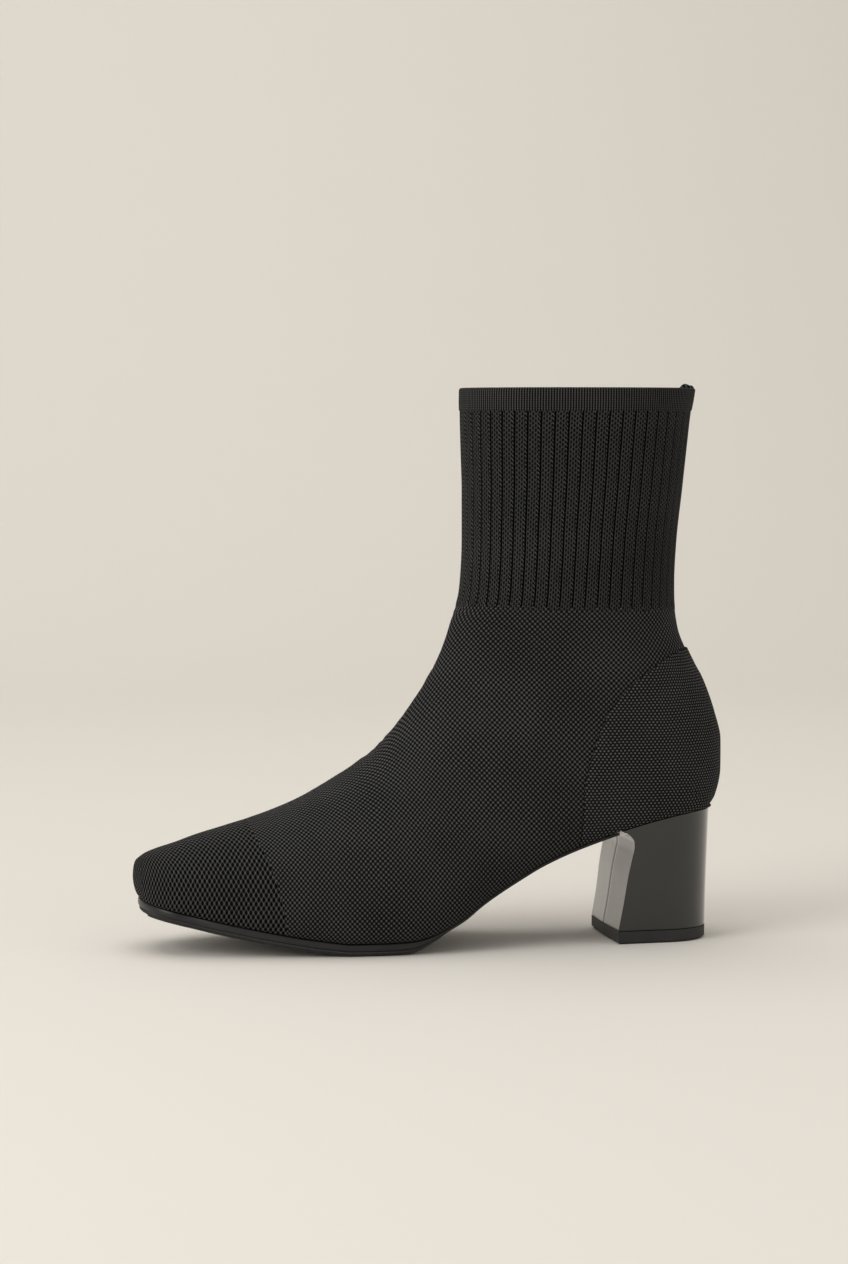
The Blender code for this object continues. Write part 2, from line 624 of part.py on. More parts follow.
def make_insole(material):
    """A board on the lasting margin, with a filler down to the outsole's face."""
    stations = [section.under * LENGTH for section in FOOT if section.lift == 0.0]
    ease = WALL + 5 * CLEARANCE
    start, end = FEATHER_TIP + ease + CLEARANCE, FEATHER_REAR - ease - 1.5 * WALL
    first, last = FOOT[FIRST_OPEN].under * LENGTH, FOOT[LAST_OPEN].under * LENGTH
    inside = [x for x in stations if start + 0.001 < x < end - 0.001]
    filled = [x for x in inside if first <= x <= last]
    filled[0] += 2 * CLEARANCE
    filled[-1] -= 2 * CLEARANCE
    stations = [start] + [x for x in inside if x < first] + filled
    stations += [x for x in inside if x > last] + [end]
    bm = bmesh.new()
    low, high = WALL + CLEARANCE, WALL + CLEARANCE + INSOLE_THICKNESS

    def at_level(along, share_out, distance):
        half = sole_half(along, ease)
        filler = min(sole_half(along) - LASTING_MARGIN, 0.5 * sole_half(along)) - 2 * CLEARANCE
        filler = max(min(filler, 0.8 * half), 0.2 * half)
        y = half if share_out else filler
        z = layer_height(along, distance)
        return [Vector((at_x(along), sole_middle(along) + side * y, z)) for side in (-1, 1)]

    top = [vertices(bm, at_level(x, True, high)) for x in stations]
    edge = [vertices(bm, at_level(x, True, low)) for x in stations]
    mid = [vertices(bm, at_level(x, False, low)) for x in stations]
    filler = [vertices(bm, at_level(x, False, CLEARANCE / 2)) for x in filled]
    offset = stations.index(filled[0])
    for i in range(len(stations) - 1):
        face(bm, top[i][0], top[i][1], top[i + 1][1], top[i + 1][0])
        for side in (0, 1):
            face(bm, top[i][side], top[i + 1][side], edge[i + 1][side], edge[i][side])
            face(bm, edge[i][side], edge[i + 1][side], mid[i + 1][side], mid[i][side])
        j = i - offset
        if 0 <= j < len(filled) - 1:
            for side in (0, 1):
                face(bm, mid[i][side], mid[i + 1][side], filler[j + 1][side], filler[j][side])
            face(bm, filler[j][0], filler[j][1], filler[j + 1][1], filler[j + 1][0])
        else:
            face(bm, mid[i][0], mid[i][1], mid[i + 1][1], mid[i + 1][0])
    for i, j in ((offset, 0), (offset + len(filled) - 1, -1)):
        face(bm, mid[i][0], mid[i][1], filler[j][1], filler[j][0])
    for end_of in (0, -1):
        face(bm, top[end_of][0], top[end_of][1], edge[end_of][1], mid[end_of][1],
             mid[end_of][0], edge[end_of][0])
    return new_object("insole", bm, material)


def heel_outline(front, rear, half_at, height):
    """A closed outline: across the breast, back along one side, round the back and home."""
    side_shares = (0.0, 0.03, 0.2, 0.4, 0.56, 0.69, 0.80, 0.89, 0.955, 0.99)
    breast = [-0.94, -0.5, 0.0, 0.5, 0.94]
    points = []
    for across in breast:
        half = half_at(front, 0.0)
        x = front - BREAST_RIDGE * (1 - abs(across))
        points.append((x, across * half))
    for side, shares in ((1, side_shares[1:]), (-1, side_shares[:0:-1])):
        if side == -1:
            points.append((rear, 0.0))
        for share in shares:
            x = mix(front, rear, share)
            points.append((x, side * half_at(x, share)))
    return [Vector((at_x(x), sole_middle(x) + y, height(x))) for x, y in points]


def base_half(along, share):
    """Half the width of the heel's foot, a straight side into a round back."""
    straight = 0.42
    left = max(share - straight, 0.0) / (1 - straight)
    return HEEL_BASE_WIDTH / 2 * (1 - left ** 2.4) ** (1 / 2.4)


def close_stack(bm, rings):
    """Side walls between closed rings, and both ends."""
    for lower, upper in zip(rings, rings[1:]):
        for k in range(len(lower)):
            n = (k + 1) % len(lower)
            face(bm, lower[k], lower[n], upper[n], upper[k])
    for ring in (rings[0], rings[-1]):
        close_heel(bm, ring)


def close_heel(bm, ring):
    """Strips across a heel outline, from side to side, with a fan over its breast."""
    breast, sides = ring[:5], (len(ring) - 6) // 2
    right = [breast[-1]] + ring[5:5 + sides]
    left = [breast[0]] + ring[:-sides - 1:-1]
    for k in range(sides):
        face(bm, left[k], left[k + 1], right[k + 1], right[k])
    face(bm, left[-1], ring[5 + sides], right[-1])
    face(bm, *breast)


def make_heel(material):
    """The block, from the lift up to the seat, under which its outline follows the feather line."""
    foot = LIFT_THICKNESS + CLEARANCE
    rear = BREAST_AT + HEEL_BASE_LENGTH
    bm = bmesh.new()
    rings = []
    for step in BREAST:
        front = BREAST_AT + step.back * HEEL_BASE_LENGTH

        def half_at(along, share, up=step.up):
            seat = sole_half(along, 0.0) if share < 0.999 else 0.0
            return mix(base_half(along, share), seat, up ** 1.4)

        def height(along, up=step.up):
            return mix(foot, layer_height(along, -CLEARANCE), up)

        rings.append(vertices(bm, heel_outline(front, rear, half_at, height)))
    close_stack(bm, rings)
    return new_object("heel_block", bm, material)


def make_lift(material):
    bm = bmesh.new()
    rear = BREAST_AT + HEEL_BASE_LENGTH
    rings = []
    for inset, z in ((LIFT_CHAMFER, 0.0), (0.0, LIFT_CHAMFER), (0.0, LIFT_THICKNESS)):
        def half_at(along, share, inset=inset):
            return base_half(along, share) - inset

        rings.append(vertices(bm, heel_outline(BREAST_AT + inset, rear - inset, half_at,
                                               lambda along, z=z: z)))
    close_stack(bm, rings)
    return new_object("top_lift", bm, material)


def main():
    clear_scene()
    knit = principled("black_knit", (0.021, 0.021, 0.022), 0.9)
    board = principled("insole_lining", (0.03, 0.029, 0.028), 0.85)
    rubber = principled("moulded_sole", (0.028, 0.028, 0.028), 0.5)
    lacquer = principled("glossy_heel", (0.02, 0.02, 0.02), 0.12)
    lift = principled("lift_rubber", (0.035, 0.035, 0.036), 0.6)
    make_upper(knit)
    make_insole(board)
    make_outsole(rubber)
    make_heel(lacquer)
    make_lift(lift)


main()
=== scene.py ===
# %% [markdown]
# # A knitted ankle boot with a glossy block heel
#
# The real boot is a sock: yarn knitted in one piece, pulled over a last and glued to a thin
# moulded sole and a lacquered heel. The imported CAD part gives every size. This script dresses it:
# it lays knitted skins, a band, a sole and a heel on the same section curves, and gives each one
# the finish of its real material.

# %% The frame
import math
from collections import namedtuple

import bmesh
import bpy
import numpy as np
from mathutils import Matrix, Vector


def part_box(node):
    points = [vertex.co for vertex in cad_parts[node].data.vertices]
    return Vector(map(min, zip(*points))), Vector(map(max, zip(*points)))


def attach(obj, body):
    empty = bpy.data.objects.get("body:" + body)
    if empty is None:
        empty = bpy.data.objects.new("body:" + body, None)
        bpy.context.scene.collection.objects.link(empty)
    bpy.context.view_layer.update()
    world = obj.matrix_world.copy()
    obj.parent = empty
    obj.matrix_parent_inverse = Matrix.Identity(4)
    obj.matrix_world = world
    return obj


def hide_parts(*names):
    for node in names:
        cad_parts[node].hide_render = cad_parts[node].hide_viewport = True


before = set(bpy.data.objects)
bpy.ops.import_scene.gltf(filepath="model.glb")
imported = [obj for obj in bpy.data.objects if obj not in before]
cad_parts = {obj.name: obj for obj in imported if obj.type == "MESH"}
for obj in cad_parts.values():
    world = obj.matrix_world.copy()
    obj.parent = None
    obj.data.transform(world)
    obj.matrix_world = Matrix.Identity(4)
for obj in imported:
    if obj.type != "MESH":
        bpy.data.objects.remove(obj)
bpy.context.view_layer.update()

MM = 0.001
nodes = sorted(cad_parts)
print("CAD nodes:", ", ".join(nodes))

# %% [markdown]
# ## The section curves
#
# A shoemaker describes a last by sections: cuts across it, each with a width, a height and a
# roundness. The tables below are those of the CAD part, so the dressed boot and the solid are one
# shape. They could be traced again from the mesh, but a surface worked out from curves is smooth
# at any resolution, and that is what a fine knit needs.

# %% Driving sizes, from the frame and the last
upper_low, upper_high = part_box("upper")
lift_low, lift_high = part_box("top_lift")
sole_low, sole_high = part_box("outsole")
LENGTH = upper_high.x - upper_low.x
TOE_X = upper_low.x
COLLAR_HEIGHT = upper_high.z
SEAT_HEIGHT = 0.0552
TOE_SPRING = 0.0165
BALL_WIDTH = 0.0736
SHAFT_DEPTH = 0.0985
SHAFT_WIDTH = 0.0745
WALL = 0.0018
BAND_HEIGHT = 0.0095
BAND_STEP = 0.0004
RIB_COUNT = 48
COUNTER_STEP = 0.0005
SOLE_THICKNESS = 0.0054
WAIST_THICKNESS = 0.0015
HEEL_BASE_LENGTH = 0.042
HEEL_BASE_WIDTH = 0.046
HEEL_SETBACK = 0.0065
LIFT_THICKNESS = lift_high.z
CLEARANCE = 0.0003
RISE = COLLAR_HEIGHT - SEAT_HEIGHT
TOE_TIP, FEATHER_TIP = 0.001 * LENGTH, 0.009 * LENGTH
FEATHER_REAR = 0.9785 * LENGTH
TOE_ROUND, HEEL_ROUND = 0.065 * LENGTH, 0.098 * LENGTH
TREAD_START = 0.3415 * LENGTH
SOLE_THINS = (0.430 * LENGTH, 0.515 * LENGTH)
BREAST_AT = LENGTH - HEEL_SETBACK - HEEL_BASE_LENGTH
HEEL_REAR = LENGTH - HEEL_SETBACK
CORNER = 2.3
print(f"boot {LENGTH / MM:.1f} mm long, collar at {COLLAR_HEIGHT / MM:.1f} mm")

# %% The tables
Plan = namedtuple("Plan", "along middle half")
PLAN = (
    Plan(0.000, 0.052, 0.279), Plan(0.065, 0.041, 0.300), Plan(0.122, 0.041, 0.366),
    Plan(0.183, 0.048, 0.421), Plan(0.244, 0.057, 0.466), Plan(0.293, 0.061, 0.490),
    Plan(0.346, 0.050, 0.500), Plan(0.398, 0.029, 0.488), Plan(0.455, 0.000, 0.448),
    Plan(0.528, -0.027, 0.382), Plan(0.610, -0.034, 0.333), Plan(0.691, -0.030, 0.324),
    Plan(0.772, -0.020, 0.346), Plan(0.833, -0.007, 0.370), Plan(0.886, 0.000, 0.380),
    Plan(1.000, 0.000, 0.374),
)
Arch = namedtuple("Arch", "along rise")
ARCH = (
    Arch(0.400, 0.000), Arch(0.443, 0.006), Arch(0.480, 0.044), Arch(0.500, 0.086),
    Arch(0.5325, 0.170), Arch(0.565, 0.288), Arch(0.600, 0.398), Arch(0.634, 0.497),
    Arch(0.669, 0.592), Arch(0.736, 0.734), Arch(0.821, 0.874), Arch(0.874, 0.943),
    Arch(0.911, 0.980), Arch(0.950, 1.000), Arch(1.000, 1.000),
)
Section = namedtuple("Section", "under lift over top half ridge widest crown foot", defaults=(2.0,))
FOOT = (
    Section(0.0022, 0.022, 0.0022, 0.074, 0.293, 0.052, 0.45, 2.2),
    Section(0.0055, 0.009, 0.0055, 0.086, 0.296, 0.052, 0.45, 2.2),
    Section(0.0115, 0.001, 0.0115, 0.095, 0.299, 0.050, 0.43, 2.2),
    Section(0.0225, 0.000, 0.0225, 0.108, 0.305, 0.048, 0.41, 2.2),
    Section(0.041, 0.000, 0.041, 0.124, 0.319, 0.045, 0.39, 2.2),
    Section(0.070, 0.000, 0.069, 0.1455, 0.350, 0.043, 0.37, 2.15),
    Section(0.110, 0.000, 0.109, 0.178, 0.394, 0.043, 0.35, 2.1),
    Section(0.163, 0.000, 0.162, 0.215, 0.448, 0.049, 0.33, 2.1),
    Section(0.224, 0.000, 0.223, 0.258, 0.505, 0.058, 0.31, 2.05),
    Section(0.284, 0.000, 0.280, 0.304, 0.546, 0.066, 0.29, 2.05),
    Section(0.3415, 0.000, 0.330, 0.353, 0.565, 0.068, 0.28, 2.0),
    Section(0.395, 0.000, 0.368, 0.386, 0.560, 0.067, 0.27, 2.0),
    Section(0.440, 0.000, 0.393, 0.41, 0.537, 0.063, 0.26, 2.0),
    Section(0.476, 0.000, 0.407, 0.4165, 0.512, 0.058, 0.25, 2.0),
    Section(0.510, 0.000, 0.417, 0.412, 0.489, 0.053, 0.24, 1.95),
    Section(0.550, 0.000, 0.425, 0.3885, 0.467, 0.048, 0.235, 1.95),
    Section(0.598, 0.000, 0.436, 0.361, 0.443, 0.042, 0.23, 1.95),
    Section(0.650, 0.000, 0.447, 0.3385, 0.427, 0.035, 0.225, 1.95),
    Section(0.699, 0.000, 0.457, 0.324, 0.421, 0.028, 0.22, 1.95),
    Section(0.7315, 0.000, 0.465, 0.322, 0.422, 0.023, 0.22, 1.95),
    Section(0.750, 0.000, 0.470, 0.3230, 0.423, 0.021, 0.22, 1.95),
    Section(0.772, 0.000, 0.476, 0.3247, 0.425, 0.018, 0.22, 1.95),
    Section(0.818, 0.000, 0.487, 0.328, 0.430, 0.012, 0.22, 1.95),
    Section(0.863, 0.000, 0.497, 0.3374, 0.433, 0.008, 0.22, 1.95),
    Section(0.9065, 0.000, 0.504, 0.34, 0.435, 0.004, 0.22, 2.0),
    Section(0.943, 0.000, 0.510, 0.351, 0.433, 0.002, 0.225, 2.0, 2.05),
    Section(0.9675, 0.000, 0.515, 0.366, 0.430, 0.000, 0.24, 2.0, 2.05),
    Section(0.9785, 0.002, 0.519, 0.379, 0.428, 0.000, 0.25, 2.0, 2.3),
    Section(0.9885, 0.029, 0.523, 0.394, 0.425, 0.000, 0.27, 2.0, 2.3),
    Section(0.998, 0.086, 0.528, 0.413, 0.421, 0.000, 0.32, 2.0, 2.25),
    Section(0.999, 0.155, 0.532, 0.431, 0.418, 0.000, 0.36, 2.0, 2.2),
    Section(0.988, 0.226, 0.5365, 0.4505, 0.419, 0.000, 0.40, 2.0, 2.15),
    Section(0.9675, 0.305, 0.540, 0.4625, 0.421, 0.000, 0.43, 2.0, 2.1),
    Section(0.9545, 0.340, 0.5415, 0.469, 0.424, 0.000, 0.45, 2.05),
    Section(0.9440, 0.3695, 0.543, 0.474, 0.428, 0.000, 0.46, 2.05),
    Section(0.929, 0.420, 0.5445, 0.480, 0.434, 0.000, 0.48, 2.05),
)
ShaftSection = namedtuple("ShaftSection", "back back_up front front_up half")
SHAFT_AXIS = 0.753
BAND_FOOT_UP = 1 - BAND_HEIGHT / RISE
SHAFT = (
    ShaftSection(0.418, 0.472, -0.517, 0.487, 0.435),
    ShaftSection(0.413, 0.500, -0.507, 0.508, 0.440),
    ShaftSection(0.412, 0.548, -0.4985, 0.548, 0.444),
    ShaftSection(0.420, 0.638, -0.491, 0.638, 0.452),
    ShaftSection(0.443, 0.758, -0.491, 0.758, 0.467),
    ShaftSection(0.460, 0.850, -0.4955, 0.850, 0.481),
    ShaftSection(0.479, BAND_FOOT_UP, -0.4995, BAND_FOOT_UP, 0.4935),
    ShaftSection(0.4965, 1.0, -0.4995, 1.0, 0.4935),
)
Seam = namedtuple("Seam", "along up")
COUNTER_SEAM = (
    Seam(0.7315, -0.080), Seam(0.7365, 0.060), Seam(0.7465, 0.120), Seam(0.7635, 0.190),
    Seam(0.777, 0.232), Seam(0.798, 0.273), Seam(0.828, 0.315), Seam(0.866, 0.350),
    Seam(0.893, 0.368), Seam(0.911, 0.376), Seam(0.9425, 0.380),
)
Edge = namedtuple("Edge", "up along")
TOE_EDGE = (
    Edge(0.0109, 0.0577), Edge(0.0225, 0.0555), Edge(0.0319, 0.0530), Edge(0.0406, 0.0501),
    Edge(0.0483, 0.0467), Edge(0.0505, 0.0462),
)
Breast = namedtuple("Breast", "up back")
BREAST = (
    Breast(0.00, 0.000), Breast(0.27, 0.050), Breast(0.53, 0.090), Breast(0.71, 0.128),
    Breast(0.79, 0.145), Breast(0.85, 0.142), Breast(0.91, 0.112), Breast(0.96, 0.065),
    Breast(1.00, 0.012),
)
print(len(FOOT), "sections of the foot and", len(SHAFT), "of the shaft")


# %% Reading a table smoothly
def curve(xs, ys, at):
    """Values at many places on a smooth curve through a table that never overshoots its rows."""
    xs, ys, at = np.asarray(xs, float), np.asarray(ys, float), np.asarray(at, float)
    at = np.clip(at, xs[0], xs[-1])
    widths = np.diff(xs)
    steps = np.diff(ys) / widths
    slopes = np.empty_like(ys)
    slopes[0], slopes[-1] = steps[0], steps[-1]
    before, after = steps[:-1], steps[1:]
    both = before * after > 0
    total = np.where(both, before + after, 1.0)
    slopes[1:-1] = np.where(both, 2 * before * after / total, 0.0)
    i = np.clip(np.searchsorted(xs, at, side="right") - 1, 0, len(widths) - 1)
    t = (at - xs[i]) / widths[i]
    return (ys[i] * (1 + 2 * t) * (1 - t) ** 2 + slopes[i] * widths[i] * t * (1 - t) ** 2
            + ys[i + 1] * t * t * (3 - 2 * t) - slopes[i + 1] * widths[i] * t * t * (1 - t))


def column(table, name):
    return [getattr(row, name) for row in table]


def ease(value, start, end):
    share = np.clip((np.asarray(value, float) - start) / (end - start), 0.0, 1.0)
    return share * share * (3 - 2 * share)


def feather_height(along):
    """Height of the line where the knit turns under the foot."""
    along = np.asarray(along, float)
    ahead = np.maximum(TREAD_START - along, 0.0) / TREAD_START
    rise = curve(column(ARCH, "along"), column(ARCH, "rise"), along / LENGTH)
    return SOLE_THICKNESS + TOE_SPRING * ahead ** 1.25 + (SEAT_HEIGHT - SOLE_THICKNESS) * rise


def layer_height(along, distance):
    """Height of a layer that lies this far above the feather line, square to it."""
    step = 0.002 * LENGTH
    slope = (feather_height(along + step) - feather_height(along - step)) / (2 * step)
    return feather_height(along) + distance * np.sqrt(1 + slope * slope)


def end_round(along, tip, rear):
    share = 1.0
    for distance, length in ((along - tip, TOE_ROUND), (rear - along, HEEL_ROUND)):
        left = 1 - np.clip(distance / length, 0.0, 1.0)
        share = share * (1 - left ** CORNER) ** (1 / CORNER)
    return share


def sole_half(along):
    body = curve(column(PLAN, "along"), column(PLAN, "half"), np.asarray(along) / LENGTH)
    return BALL_WIDTH * body * end_round(along, FEATHER_TIP, FEATHER_REAR)


def sole_middle(along):
    return BALL_WIDTH * curve(column(PLAN, "along"), column(PLAN, "middle"),
                              np.asarray(along) / LENGTH)


ball = TREAD_START
print(f"the sole is {2 * float(sole_half(ball)) / MM:.1f} mm wide at the ball")


# %% [markdown]
# ## One skin for the whole sock
#
# The knit is one surface from toe to collar, so it is worked out once, as a fine table of points:
# one row for each of many sections, one column for each step round them. Every knitted piece below
# is a bmesh grid that is wrapped on this skin, with a height above it. A grid keeps its rows and
# columns, so a UV map in real millimetres comes with it, and the knit can follow the sock.

# %% The skin
def shaft_as_section(row):
    """A section of the shaft in the foot's own terms, so that one curve runs through both."""
    under = SHAFT_AXIS + row.back * SHAFT_DEPTH / LENGTH
    over = SHAFT_AXIS + row.front * SHAFT_DEPTH / LENGTH
    base = (float(feather_height(under * LENGTH)) - SEAT_HEIGHT) / RISE
    return Section(under, row.back_up - base, over, row.front_up - base,
                   row.half * SHAFT_WIDTH / BALL_WIDTH, 0.0, 0.49, 2.1, 2.1)


ROWS_PER_SECTION = 12
COLUMNS = 150
UNDERFOOT = 0.06
DOME_ROWS = 8
sections = list(FOOT) + [shaft_as_section(row) for row in SHAFT]
RIB_FOOT, BAND_FOOT, COLLAR = len(FOOT), len(sections) - 2, len(sections) - 1


def half_section(widest, feather, half, foot, crown, length):
    """Half a section: how far out and how far up each of its points lies."""
    low = widest * length
    turn = np.linspace(0, math.pi / 2, 60)
    flat = np.linspace(0, feather, 5)[:-1]
    out = [flat, feather + (half - feather) * np.sin(turn[:-1]) ** (2 / foot),
           half * np.clip(np.cos(turn), 0, 1) ** (2 / crown)]
    up = [flat * 0, low * (1 - np.cos(turn[:-1]) ** (2 / foot)),
          low + (length - low) * np.sin(turn) ** (2 / crown)]
    return np.concatenate(out), np.concatenate(up)


def make_skin():
    """Points of the skin, by section and by the way round: -1 under the foot, 0 on the ridge."""
    at = np.arange(0, COLLAR + 1e-9, 1 / ROWS_PER_SECTION)
    index = np.arange(len(sections))
    value = {name: curve(index, column(sections, name), at) for name in Section._fields}
    under, over = value["under"] * LENGTH, value["over"] * LENGTH
    base = feather_height(under)
    half = value["half"] * BALL_WIDTH * end_round(np.minimum(under, LENGTH / 2), TOE_TIP, LENGTH)
    on_sole = value["lift"] < 0.01
    feather = np.where(on_sole, np.minimum(sole_half(under), 0.95 * half), 0.0)
    middle, ridge = sole_middle(under), value["ridge"] * BALL_WIDTH
    low, high = base + value["lift"] * RISE, base + value["top"] * RISE
    round_share = np.linspace(0, 1, COLUMNS + 1)
    points = np.empty((len(at), 2 * COLUMNS + 1, 3))
    for n in range(len(at)):
        length = math.hypot(over[n] - under[n], high[n] - low[n])
        out, up = half_section(value["widest"][n], feather[n], half[n], value["foot"][n],
                               value["crown"][n], length)
        walked = np.concatenate([[0], np.cumsum(np.hypot(np.diff(out), np.diff(up)))])
        edge = max(feather[n], UNDERFOOT * walked[-1])
        distance = np.interp(round_share, (0, UNDERFOOT, 1), (0, edge, walked[-1]))
        out, up = np.interp(distance, walked, out), np.interp(distance, walked, up) / length
        x = TOE_X + under[n] + (over[n] - under[n]) * up
        z = low[n] + (high[n] - low[n]) * up
        y = middle[n] + (ridge[n] - middle[n]) * up * up
        points[n, :COLUMNS + 1] = np.stack([x, y - out, z], axis=1)
        points[n, COLUMNS:] = np.stack([x, y + out, z], axis=1)[::-1]
    return close_toe(points)


def close_toe(points):
    """The skin with a low dome in front of its first section."""
    first = points[0]
    tip = first.mean(axis=0)
    tip[0] = TOE_X
    dome = []
    for share in np.linspace(0, 1, DOME_ROWS + 1)[:-1]:
        ring = tip + (first - tip) * share
        ring[:, 0] = tip[0] + (first[:, 0] - tip[0]) * share * share
        dome.append(ring)
    return np.concatenate([np.array(dome), points])


skin = make_skin()
down_skin = np.gradient(skin, axis=0)
round_skin = np.gradient(skin, axis=1)
skin_out = np.cross(down_skin, round_skin)
skin_out /= np.maximum(np.linalg.norm(skin_out, axis=2, keepdims=True), 1e-12)
skin_out[0] = (-1, 0, 0)
seam_out_way = skin_out[:, 0] + skin_out[:, -1]
seam_out_way /= np.maximum(np.linalg.norm(seam_out_way, axis=1, keepdims=True), 1e-12)
skin_out[:, 0] = skin_out[:, -1] = seam_out_way
steps_round = np.linalg.norm(np.diff(skin, axis=1), axis=2)
round_mm = np.concatenate([np.zeros((len(skin), 1)), np.cumsum(steps_round, axis=1)], axis=1)
round_mm = (round_mm - round_mm[:, COLUMNS:COLUMNS + 1]) / MM
steps_down = np.linalg.norm(np.diff(skin, axis=0), axis=2)
down_mm = np.concatenate([np.zeros((1, skin.shape[1])), np.cumsum(steps_down, axis=0)]) / MM
WIDEST_COLUMN = int(0.36 * COLUMNS)


def flatten_side(side_column, sign):
    """The skin laid flat like a paper pattern: each section straightened from its widest point."""
    lean = skin[:, COLUMNS, (0, 2)] - skin[:, 0, (0, 2)]
    lean[:DOME_ROWS] = lean[DOME_ROWS]
    lean /= np.linalg.norm(lean, axis=1, keepdims=True)
    step = np.diff(skin[:, side_column], axis=0)
    ahead = np.stack([lean[:-1, 1], -lean[:-1, 0]], axis=1)
    spine = np.cumsum(step[:, (0, 2)] + ahead * np.abs(step[:, 1:2]), axis=0) / MM
    spine = np.concatenate([[[0, 0]], spine])
    along_ring = sign * (round_mm - round_mm[:, side_column:side_column + 1])
    return spine[:, None] + lean[:, None] * along_ring[..., None]


flat_out = flatten_side(WIDEST_COLUMN, 1)
flat_in = flatten_side(2 * COLUMNS - WIDEST_COLUMN, -1)
flat_mm = np.where((np.arange(2 * COLUMNS + 1) <= COLUMNS)[None, :, None], flat_out, flat_in)
print("skin of", skin.shape[0], "sections by", skin.shape[1], "points")


# %% Reading the skin
def read_skin(layer, section, turn):
    """A layer of the skin where section counts the tables' rows and turn goes from -1 to 1."""
    rows = section * ROWS_PER_SECTION + DOME_ROWS
    rows = np.where(section < 0, (section + 1) * DOME_ROWS, rows)
    rows = np.clip(rows, 0, len(skin) - 1)
    cols = np.clip((turn + 1) * COLUMNS, 0, 2 * COLUMNS)
    i = np.minimum(rows.astype(int), len(skin) - 2)
    j = np.minimum(cols.astype(int), 2 * COLUMNS - 1)
    a, b = rows - i, cols - j
    if layer.ndim == 3:
        a, b = a[..., None], b[..., None]
    return ((1 - a) * (1 - b) * layer[i, j] + a * (1 - b) * layer[i + 1, j]
            + (1 - a) * b * layer[i, j + 1] + a * b * layer[i + 1, j + 1])


def new_piece(name, bm, material):
    """A finished mesh object at the origin, with its material."""
    mesh = bpy.data.meshes.new(name)
    bm.to_mesh(mesh)
    bm.free()
    mesh.shade_smooth()
    mesh.materials.append(material)
    piece = bpy.data.objects.new(name, mesh)
    bpy.context.scene.collection.objects.link(piece)
    return piece


def wrapped(name, rows, columns, place, material, weld=0.0):
    """A grid laid by place, which takes two shares from 0 to 1 and gives points and a UV in mm."""
    bm = bmesh.new()
    bmesh.ops.create_grid(bm, x_segments=rows, y_segments=columns, size=0.5, calc_uvs=True)
    piece = new_piece(name, bm, material)
    mesh = piece.data
    flat = np.empty(len(mesh.vertices) * 3)
    mesh.vertices.foreach_get("co", flat)
    flat = flat.reshape(-1, 3)
    points, uv = place(flat[:, 0] + 0.5, flat[:, 1] + 0.5)
    mesh.vertices.foreach_set("co", points.ravel())
    corners = np.empty(len(mesh.loops), int)
    mesh.loops.foreach_get("vertex_index", corners)
    mesh.uv_layers.new(name="knit_mm")
    mesh.uv_layers[0].data.foreach_set("uv", uv[corners].ravel())
    if weld:
        bm = bmesh.new()
        bm.from_mesh(mesh)
        bmesh.ops.remove_doubles(bm, verts=bm.verts, dist=weld)
        bmesh.ops.dissolve_degenerate(bm, edges=bm.edges, dist=1e-7)
        bm.to_mesh(mesh)
        bm.free()
    mesh.update()
    mesh.shade_smooth()
    print(f"{name}: {len(mesh.polygons)} faces")
    return piece


def dress(piece, slot, *stands_for):
    """The piece rides with the boot and stands for CAD nodes. Its slot is not used."""
    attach(piece, "root")
    if stands_for:
        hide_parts(*stands_for)
    return piece


def on_skin(section, turn, height, up=0.0):
    """Points this high above the skin, then moved up, and their UV in mm."""
    points = read_skin(skin, section, turn) + read_skin(skin_out, section, turn) * height[:, None]
    points[:, 2] += up
    return points, read_skin(flat_mm, section, turn)


# %% [markdown]
# ## Colours and the node helper
#
# Black yarn isn't black: it is a very dark warm grey with a little sheen. Colours are written as
# screen hex values, and one function turns them to the linear values
# that a renderer adds up.

# %% Colour and one helper for nodes
def hex_colour(code):
    """Linear RGBA from an sRGB hex value."""
    channels = [int(code[i:i + 2], 16) / 255 for i in (1, 3, 5)]
    linear = [c / 12.92 if c <= 0.04045 else ((c + 0.055) / 1.055) ** 2.4 for c in channels]
    return (*linear, 1.0)


def add_node(tree, kind, settings=None, **links):
    """A node with its settings. A link named a_0 feeds input 0, with a socket or with a value."""
    node = tree.nodes.new(kind)
    for name, value in (settings or {}).items():
        setattr(node, name, value)
    for name, value in links.items():
        socket = node.inputs[int(name.rsplit("_", 1)[1])] if name[-1].isdigit() else \
            node.inputs[name.replace("_", " ")]
        if isinstance(value, bpy.types.NodeSocket):
            tree.links.new(value, socket)
        else:
            socket.default_value = value
    return node


def maths(tree, operation, *values):
    """One step of arithmetic on sockets and numbers."""
    inputs = {f"in_{i}": value for i, value in enumerate(values)}
    return add_node(tree, "ShaderNodeMath", {"operation": operation}, **inputs).outputs[0]


def new_material(name, roughness, **shader_values):
    """A material with its Principled shader, whose plain values stand on its own sockets."""
    material = bpy.data.materials.new(name)
    material.use_nodes = True
    tree = material.node_tree
    shader = tree.nodes["Principled BSDF"]
    shader.inputs["Roughness"].default_value = roughness
    for socket, value in shader_values.items():
        shader.inputs[socket.replace("_", " ")].default_value = value
    return material, tree, shader


def ramp(tree, value, stops):
    """A colour ramp through (place, hex) stops."""
    node = add_node(tree, "ShaderNodeValToRGB", in_0=value)
    band = node.color_ramp
    while len(band.elements) < len(stops):
        band.elements.new(0.5)
    for element, (place, code) in zip(band.elements, stops):
        element.position = place
        element.color = hex_colour(code)
    return node.outputs[0]


print("black yarn #2b2b2a is", [round(c, 3) for c in hex_colour("#2b2b2a")[:3]], "in linear light")
